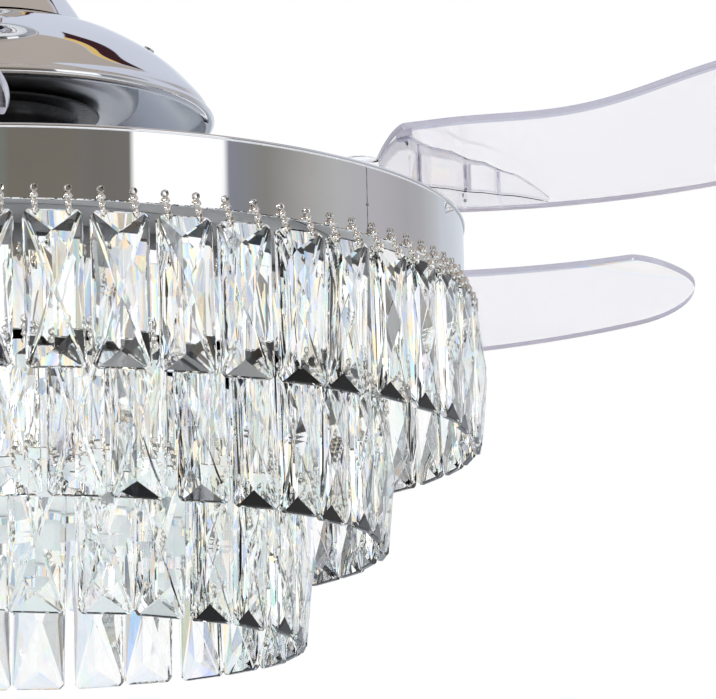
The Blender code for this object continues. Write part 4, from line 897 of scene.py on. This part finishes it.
def buildLightBoard():
    board = {"inner": 0.0720, "outer": 0.1320, "high": -0.0064, "low": -0.0080, "chipHeight": -0.0084,
             "rings": ((0.084, 30), (0.104, 38), (0.123, 44)), "shift": 0.1}
    inner, outer, high, low = board["inner"], board["outer"], board["high"], board["low"]
    profile = ((inner, high), (outer, high), (outer, low), (inner, low))
    settle(spun("boardSkin", profile, boardFinish, 160), "hanging", "board", "led_board")
    for number, (radius, count) in enumerate(board["rings"], 1):
        settings = {"Count": count, "Radius": radius, "First": board["shift"] * number,
                    "Height": atBand(board["chipHeight"]), "Seed": 1, "Sway": 0.0}
        chips = ringOf(f"lightChips{number}", chipPiece(), chipFinish, settings)
        settle(chips, "hanging", "board")


buildOuterBand()
for tier in tiers[1:]:
    buildInnerBand(tier, tier["name"] == "inner")
buildSeam()
buildLampPlate()
buildDiffuser()
buildLightBoard()
report("bands and light made")


# motor cover, bell, rod and canopy

def darkInside(obj, finish):
    # the inner wall, whose faces look towards the axis, takes a second finish: a duller one in the dome, and
    # black in the bell as painted shade for its unlit hollow
    obj.data.materials.append(finish)
    for face in obj.data.polygons:
        if face.normal.x * face.center.x + face.normal.y * face.center.y < -1e-4 * face.center.xy.length:
            face.material_index = 1


def buildDome():
    shape = ((0.0300, 0.1166), (0.0420, 0.1144), (0.0570, 0.1100), (0.0716, 0.1045), (0.0880, 0.0949),
             (0.1000, 0.0856), (0.1096, 0.0757), (0.1150, 0.0690), (0.1162, 0.0645))
    wall, lip, mouth, top = 0.0016, 0.0030, 0.0098, shape[0][1]
    line = smoothLine(shape, 8)
    rim = line[-1]
    roll = [rim + Vector((lip * math.sin(t), lip * (math.cos(t) - 1))) for t in sweep(math.pi, 12)[1:]]
    under = Vector((rim.x - wall, rim.y - 2 * lip))
    inner = wallOf(line, wall)
    inner[0].y = top - wall
    profile = [Vector((mouth, top))] + line + roll + [under] + inner[::-1] + [Vector((mouth, top - wall))]
    dome = spun("motorDomeSkin", profile, chromeFinish, 256)
    darkInside(dome, shellFinish)
    settle(dome, "hanging", "chrome", "motor_dome")


def buildBell():
    shape = ((0.0120, 0.1800), (0.0165, 0.1770), (0.0235, 0.1690), (0.0290, 0.1570),
             (0.0335, 0.1430), (0.0400, 0.1305), (0.0460, 0.1215), (0.0515, 0.1124))
    wall, mouth = 0.0014, 0.0108
    outer = smoothLine(shape, 7)
    inner = wallOf(outer, wall)
    inner[-1].y = outer[-1].y
    profile = outer + inner[:0:-1] + [Vector((mouth, inner[0].y)), Vector((mouth, outer[0].y))]
    bell = spun("bellSkin", profile, chromeFinish, 160)
    # painted shade: the bell's inner wall is black, for the unlit hollow that the dome mirrors
    darkInside(bell, blackGloss)
    settle(bell, "hanging", "chrome", "coupling_cover")


def buildCanopy():
    radius, mouth, wall, skirt, drop, edge, rest = 0.0650, 0.0165, 0.0015, 0.0200, 0.0380, 0.0007, 0.0006

    def curve(inset):
        return [(mouth + (radius - inset - mouth) * math.cos(t), -skirt - (drop - inset) * math.sin(t))
                for t in sweep(math.pi / 2, 20)]
    roll = [(radius - edge + edge * math.sin(t), -rest - edge + edge * math.cos(t))
            for t in sweep(math.pi / 2, 4)]
    profile = roll + curve(0) + curve(wall)[::-1] + [(radius - wall, -rest)]
    settle(turned("canopySkin", profile, chromeFinish, 160), "mount", "chrome", "canopy")


def buildRod():
    top, low, outer, inner, edge = -0.016, atBand(0.1365 + 0.0003), 0.0105, 0.0085, 0.0004
    profile = ((outer - edge, top), (outer, top - edge), (outer, low + edge), (outer - edge, low),
               (inner, low), (inner, top))
    settle(turned("downrodSkin", profile, chromeFinish, 96), "hanging", "chrome", "downrod")


def buildNeck():
    # the dark glossy coupling that shows between the bell and the dome
    shape = ((0.0190, 0.1600), (0.0190, 0.1330), (0.0182, 0.1322), (0.0182, 0.1302), (0.0190, 0.1294),
             (0.0190, 0.1170), (0.0098, 0.1170), (0.0098, 0.1365), (0.0108, 0.1365), (0.0108, 0.1600))
    settle(spun("neckSkin", shape, blackGloss, 96), "hanging", "motor_black", "yoke")


def buildDish():
    # the lower half of the turning motor case: a spun dish with a rounded edge and a groove
    wall, radius, low, split, bend = 0.0025, 0.0790, 0.0680, 0.0881, 0.007
    floor, groove, edge = low + wall, radius - 0.0006, 0.0008
    corner = [(radius - bend + bend * math.cos(t), low + bend - bend * math.sin(t))
              for t in sweep(math.pi / 2, 8)]
    profile = [(radius - edge, split), (radius, split - edge), (radius, 0.0800), (groove, 0.0795),
               (groove, 0.0787), (radius, 0.0782)] + corner
    profile += [(0.0600, low + 0.0004), (0.0125, low + 0.0006), (0.0125, floor), (0.0188, floor),
                (0.0188, floor + 0.0080), (0.0216, floor + 0.0080), (0.0216, floor), (radius - wall, floor),
                (radius - wall, split)]
    settle(spun("motorDishSkin", profile, satinDish, 192), "rotor", "motor_black", "rotor_lower_shell")
    bead, inset, rise = 0.0009, 0.0028, 0.0030
    ring = [(radius - inset + bead * math.cos(t), low + rise + bead * math.sin(t))
            for t in sweep(2 * math.pi, 10)[:-1]]
    settle(spun("dishRimLine", ring, nickelFinish, 192), "rotor", "motor_black")


def buildMotorCase():
    shape = ((0.0214, 0.1040), (0.0500, 0.1040), (0.0640, 0.0996), (0.0770, 0.0952), (0.0790, 0.0935),
             (0.0790, 0.0884), (0.0765, 0.0884), (0.0765, 0.0918), (0.0500, 0.1015), (0.0216, 0.1015),
             (0.0216, 0.0935), (0.0188, 0.0935), (0.0188, 0.1015), (0.0125, 0.1015), (0.0125, 0.1040))
    settle(spun("motorCaseSkin", shape, satinDish, 160), "rotor", "motor_black", "rotor_upper_shell")


def buildHub():
    shape = ((0.0400, 0.0677), (0.0480, 0.0676), (0.0560, 0.0666), (0.0580, 0.0652), (0.0574, 0.0641),
             (0.0540, 0.0637), (0.0470, 0.0632), (0.0452, 0.0600), (0.0450, 0.0560), (0.0450, 0.0093),
             (0.0400, 0.0093))
    settle(spun("hubSkin", shape, blackPaint, 128), "rotor", "steel", "rotor_hub")


buildDome()
buildBell()
buildCanopy()
buildRod()
buildNeck()
buildDish()
buildMotorCase()
buildHub()
report("motor, bell and canopy made")


# blades and their moulded roots
bladeShape = {
    "count": 4, "pivotRadius": 0.200, "pivotTurn": -17.3, "openTurn": 118.0,
    "inner": 0.1960, "outer": 0.2644, "crown": 0.0020, "thick": 0.0038,
    "sagDepth": 0.0046, "sagStart": 12, "sagReach": 44,
    "innerLine": (0.0422, 0.0280, -0.0070), "outerLine": (0.0157, 0.0003, 0.0045),
    "tipTurn": 150.5, "tipInner": 5, "tipOuter": 14, "tipPeak": 0.50,
    "rootTurn": 4.2, "rootInner": 3, "rootOuter": 3, "rootPeak": 0.70,
}


def edgeHeights(turn):
    lines = (bladeShape["innerLine"], bladeShape["outerLine"])
    inner, outer = [base + slope * turn + curve * turn * turn for base, slope, curve in lines]
    share = (math.degrees(turn) - bladeShape["sagStart"]) / bladeShape["sagReach"]
    sag = bladeShape["sagDepth"] * math.sin(math.pi * share) ** 2 if 0 < share < 1 else 0
    return inner - sag, outer


def bladeHeight(share, turn):
    inner, outer = edgeHeights(turn)
    return inner + (outer - inner) * share + 4 * bladeShape["crown"] * share * (1 - share)


def bladeSpot(share, turn, sink=0.0):
    # a point of the folded blade's middle surface, with the fan's axis at the origin
    radius = bladeShape["inner"] + (bladeShape["outer"] - bladeShape["inner"]) * share
    return Vector((radius * math.cos(turn), -radius * math.sin(turn), bladeHeight(share, turn) - sink))


def openMatrix(index):
    turn = math.radians(bladeShape["pivotTurn"] + 90 * index)
    reach = bladeShape["pivotRadius"]
    pivot = Matrix.Translation((reach * math.cos(turn), reach * math.sin(turn), bandTop))
    swing = Matrix.Rotation(turn + math.radians(bladeShape["openTurn"]), 4, "Z")
    return pivot @ swing @ Matrix.Translation((-reach, 0, 0))


def endTurn(share, extreme, peak, innerReach, outerReach):
    if share < peak:
        lean = 1 - math.sqrt(max(0, 1 - ((peak - share) / peak) ** 2))
        return extreme - innerReach * lean
    lean = 1 - math.sqrt(max(0, 1 - ((share - peak) / (1 - peak)) ** 2))
    return extreme - outerReach * lean


def bladeMesh():
    shape, across, along = bladeShape, 26, 130
    cornerShade = {"share": 0.11, "wide": 0.115, "turn": 7.2, "long": 1.9, "fall": 1.6, "gain": 1.4, "most": 0.70}
    wide, edge = shape["outer"] - shape["inner"], 0.0060
    work = bmesh.new()
    rim = work.verts.layers.float.new("rim")
    rows = []
    for share in [0.5 - 0.5 * math.cos(math.pi * step / across) for step in range(across + 1)]:
        start = endTurn(share, shape["rootTurn"], shape["rootPeak"], -shape["rootInner"], -shape["rootOuter"])
        end = endTurn(share, shape["tipTurn"], shape["tipPeak"], shape["tipInner"], shape["tipOuter"])
        row = []
        for step in range(along + 1):
            # rows stand closer at both ends, where the outline bends
            lean = math.cos(math.pi * step / along)
            turn = start + (end - start) * (0.5 - 0.5 * lean * (1.3 - 0.3 * abs(lean)))
            vert = work.verts.new(bladeSpot(share, math.radians(turn)))
            # painted shade: a lilac-grey patch in the corner where the moulded root joins
            away = ((share - cornerShade["share"]) / cornerShade["wide"]) ** 2 + ((turn - cornerShade["turn"]) / cornerShade["long"]) ** 2
            blotch = min(cornerShade["most"], cornerShade["gain"] * math.exp(-away * cornerShade["fall"]))
            vert[rim] = max(0.0, 1 - share * wide / edge, blotch)
            row.append(vert)
        rows.append(row)
    for first, second in zip(rows, rows[1:]):
        for step in range(along):
            work.faces.new((first[step], first[step + 1], second[step + 1], second[step]))
    return meshOf(work, "bladeBlank")


def buildBlades():
    mesh, soft = bladeMesh(), {"width": 0.0011, "segments": 3, "angle": 50}
    for index in range(bladeShape["count"]):
        obj = meshObject(f"clearBlade{index + 1}", mesh.copy(), bladeFinish)
        obj.data.materials.append(edgeFinish)
        obj.visible_glossy = False
        solid = obj.modifiers.new("thickness", "SOLIDIFY")
        solid.thickness = bladeShape["thick"]
        solid.offset = 0
        solid.material_offset_rim = 1
        bevel = obj.modifiers.new("softEdge", "BEVEL")
        bevel.width = soft["width"]
        bevel.segments = soft["segments"]
        bevel.limit_method = "ANGLE"
        bevel.angle_limit = math.radians(soft["angle"])
        plainMesh(obj)
        obj.data.transform(openMatrix(index))
        smooth(obj.data, 40)
        settle(obj, f"wing_{index + 1}", "clear_plastic", f"blade_{index + 1}")


rootShape = {
    "sink": 0.0040, "plateLow": 0.0161, "plateHigh": 0.0166, "footHeight": 0.0169, "wall": 0.0016,
    "leastWall": 0.0012, "leastWeb": 0.0008, "webFrom": 0.03, "webTo": 0.93,
    "plateTurn": 7.6, "plateTo": 0.965, "boss": 0.0110, "bossLow": 0.0148, "bossTop": 0.0280, "archPaintedShade": 0.42,
    "fold": ((4.25, 0.58), (4.5, 0.40), (4.95, 0.245), (5.4, 0.15), (6.4, 0.05), (7.6, 0.04), (9.1, 0.13),
             (11.3, 0.225), (14.1, 0.295), (16.4, 0.40), (18.6, 0.445), (20.5, 0.535), (22.7, 0.605),
             (24.5, 0.72), (26.2, 0.86)),
    "arch": ((4.25, 0.80), (4.6, 0.56), (4.95, 0.42), (5.9, 0.34), (7.1, 0.31), (8.6, 0.34), (10.5, 0.27),
             (14, 0.24), (17, 0.17), (19, 0.10), (21, 0.05), (26, 0.03)),
    # ribs: place round the fan in degrees, half width in degrees, and how dark the painted shade along the rib
    # is
    "ribs": ((9.2, 0.34, 0.98), (16.4, 0.44, 0.62), (20.3, 0.38, 0.36)),
    # painted shade beside the ribs: place, half width and darkness
    "ribPaintedShades": ((10.5, 0.55, 0.26), (15.7, 0.30, 0.18), (19.6, 0.2, 0.14)),
    "neck": ((0.1905, -1.5), (0.2095, -1.5), (0.2400, 3), (0.2580, 6)), "neckEnd": (0.1905, 6),
    "screws": ((0.26, 8.2, "a"), (0.88, 16.2, "b")), "screwLift": 0.0018,
}
def alongStops(stops, turn):
    if turn <= stops[0][0]:
        return stops[0][1]
    for (first, low), (second, high) in zip(stops, stops[1:]):
        if turn <= second:
            return low + (high - low) * (turn - first) / (second - first)
    return stops[-1][1]


def addSheet(work, rim, grid, shades, thick):
    # a sheet of quads through rows of points, each point with its own shade, given a thickness
    rows = []
    for line, tones in zip(grid, shades):
        row = [work.verts.new(point) for point in line]
        for vert, tone in zip(row, tones):
            vert[rim] = tone
        rows.append(row)
    faces = [work.faces.new((first[n], first[n + 1], second[n + 1], second[n]))
             for first, second in zip(rows, rows[1:]) for n in range(len(first) - 1)]
    bmesh.ops.recalc_face_normals(work, faces=faces)
    bmesh.ops.solidify(work, geom=faces, thickness=thick)


def foldSpot(turn):
    # a point under the blade, along the line where the wall folds down from it
    return bladeSpot(alongStops(rootShape["fold"], turn), math.radians(turn), rootShape["sink"])


def wallPaintedShade(turn, share):
    # painted shade on the clear wall, by depth down it: a dark arch at the top, darker still just under the
    # fold, a dark line at its foot, and dark bands on the upright ribs and beside them
    plain, footFrom, footPaintedShade = 0.04, 0.955, 0.34
    tone, arch = plain, alongStops(rootShape["arch"], turn)
    if share < arch:
        tone = rootShape["archPaintedShade"] * (0.9 + 0.1 * math.cos(turn)) + 0.22 * max(0, 1 - share / 0.10)
    if share > footFrom:
        tone = max(tone, footPaintedShade)
    for place, half, dark in rootShape["ribs"] + rootShape["ribPaintedShades"]:
        edge = abs(turn - place) / half
        if edge < 1 and share >= arch * 0.9:
            tone = max(tone, dark * (0.75 + 0.25 * edge * edge))
    return tone


def addWall(work, rim):
    # the upright wall with its windows, from the blade's fold down to the plate
    shape, steps, rows = rootShape, 110, 30
    first, last = shape["fold"][0][0], shape["fold"][-1][0]
    turns = [first + (last - first) * step / steps for step in range(steps + 1)]
    grid, shades = [], []
    for share in [row / rows for row in range(rows + 1)]:
        line = []
        for high in map(foldSpot, turns):
            low = min(shape["footHeight"], high.z - shape["leastWall"])
            line.append(Vector((high.x, high.y, high.z + (low - high.z) * share)))
        grid.append(line)
        shades.append([wallPaintedShade(turn, share) for turn in turns])
    addSheet(work, rim, grid, shades, shape["wall"])


def addWebs(work, rim):
    # webs behind the ribs, out to the blade's outer edge
    shape, steps = rootShape, 8
    for place, _, _ in shape["ribs"]:
        first = alongStops(shape["fold"], place) + shape["webFrom"]
        shares = [first + (shape["webTo"] - first) * step / steps for step in range(steps + 1)]
        high = [bladeSpot(share, math.radians(place), shape["sink"]) for share in shares]
        low = [Vector((p.x, p.y, min(shape["footHeight"], p.z - shape["leastWeb"]))) for p in high]
        addSheet(work, rim, (high, low), ((0.06,) * len(high), (0.10,) * len(low)), shape["wall"])


def addPlate(work, rim):
    # the flat plate, from the pivot's boss to the blade's outer edge
    shape, corner, tone = rootShape, 0.0015, 0.05
    line = [stop for stop in shape["fold"] if stop[0] >= shape["plateTurn"]]
    near = [bladeSpot(share, math.radians(turn)) for turn, share in line]
    far = [bladeSpot(shape["plateTo"], math.radians(turn)) for turn, _ in line]
    neck, end = [[(radius * math.cos(math.radians(turn)), -radius * math.sin(math.radians(turn)))
                  for radius, turn in points] for points in (shape["neck"], (shape["neckEnd"],))]
    outline = neck + [(p.x, p.y) for p in far + near[::-1]] + end
    path = roundedPath(outline, corner, 3)
    low, high = [[work.verts.new((p[0], p[1], height)) for p in path]
                 for height in (shape["plateLow"], shape["plateHigh"])]
    for vert in low + high:
        vert[rim] = tone
    faces = [work.faces.new(low), work.faces.new(high[::-1])]
    for n in range(len(path)):
        after = (n + 1) % len(path)
        faces.append(work.faces.new((low[n], low[after], high[after], high[n])))
    bmesh.ops.recalc_face_normals(work, faces=faces)


def addBoss(work, rim):
    # the pivot boss with its rounded top
    boss, top, low, tone = rootShape["boss"], rootShape["bossTop"], rootShape["bossLow"], 0.12
    profile = ((0, top), (0.0050, top), (boss - 0.002, top - 0.0003), (boss - 0.0006, top - 0.0008),
               (boss, top - 0.0022), (boss, low), (0, low))
    for vert in addTurned(work, profile, (bladeShape["pivotRadius"], 0, 0), 40):
        vert[rim] = tone


def rootMesh():
    # a hollow wedge: an upright wall with windows under the blade's fold, and a flat plate out to the edge
    work = bmesh.new()
    rim = work.verts.layers.float.new("rim")
    for addPart in (addWall, addWebs, addPlate, addBoss):
        addPart(work, rim)
    return meshOf(work, "rootBlank", outwards=False)


def screwMesh():
    work = bmesh.new()
    head = ((0, 0.0008), (0.0006, 0.0008), (0.0008, 0.0011), (0.0012, 0.0009), (0.0014, 0.0005),
            (0.0014, 0.0), (0.0008, 0.0), (0.0008, -0.0016), (0, -0.0020))
    addTurned(work, head, (0, 0, 0), 16)
    return meshOf(work, "screwBlank")


def buildRoots():
    mesh = rootMesh()
    for index in range(bladeShape["count"]):
        number = index + 1
        obj = meshObject(f"bladeRoot{number}", mesh.copy(), rootFinish)
        obj.data.transform(openMatrix(index))
        smooth(obj.data, 40)
        settle(obj, f"wing_{number}", "clear_plastic", f"blade_holder_{number}")
        for share, turn, letter in rootShape["screws"]:
            here = bladeSpot(share, math.radians(turn))
            across = bladeSpot(share + 0.02, math.radians(turn)) - here
            along = bladeSpot(share, math.radians(turn + 1)) - here
            normal = across.cross(along).normalized()
            normal = normal if normal.z > 0 else -normal
            lean = normal.to_track_quat("Z", "Y").to_matrix().to_4x4()
            seat = Matrix.Translation(here + normal * rootShape["screwLift"]) @ lean
            screw = meshObject(f"bladeScrew{number}{letter}", screwMesh(), blackPaint)
            screw.data.transform(openMatrix(index) @ seat)
            smooth(screw.data)
            settle(screw, f"wing_{number}", "steel", f"blade_screw_{number}{letter}")


buildBlades()
buildRoots()
report("blades and roots made")


# CAD nodes that stay, with their finishes

def dressNodes():
    finishes = {
        "ceiling_bracket": steelFinish, "canopy_screw_1": chromeFinish, "canopy_screw_2": chromeFinish,
        "receiver_box": terminalFinish, "hanger_ball": blackPaint, "ball_pin": steelFinish,
        "yoke_pin": steelFinish, "dome_screw_1": chromeFinish, "motor_shaft": steelFinish,
        "stator": copperFinish, "bearing_lower": steelFinish, "bearing_upper": steelFinish,
        "lamp_nut": steelFinish, "led_driver": whitePaint, "dish_screw_1": nickelFinish,
        "dish_screw_2": nickelFinish, "blade_carrier": blackPaint, "return_spring": steelFinish,
        "sync_gear": steelFinish,
    }
    for number in range(1, 5):
        finishes[f"pivot_pin_{number}"] = steelFinish
        finishes[f"pinion_{number}"] = steelFinish
    for name, finish in finishes.items():
        node = nodesOfFrame[name]
        if node.material_slots:
            node.material_slots[0].material = finish
        else:
            node.data.materials.append(finish)


dressNodes()
report("frame dressed")

low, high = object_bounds()
for label, least, most in (("CAD", cadLow, cadHigh), ("visual", low, high)):
    print(label, "size:", [round(b - a, 4) for a, b in zip(least, most)])
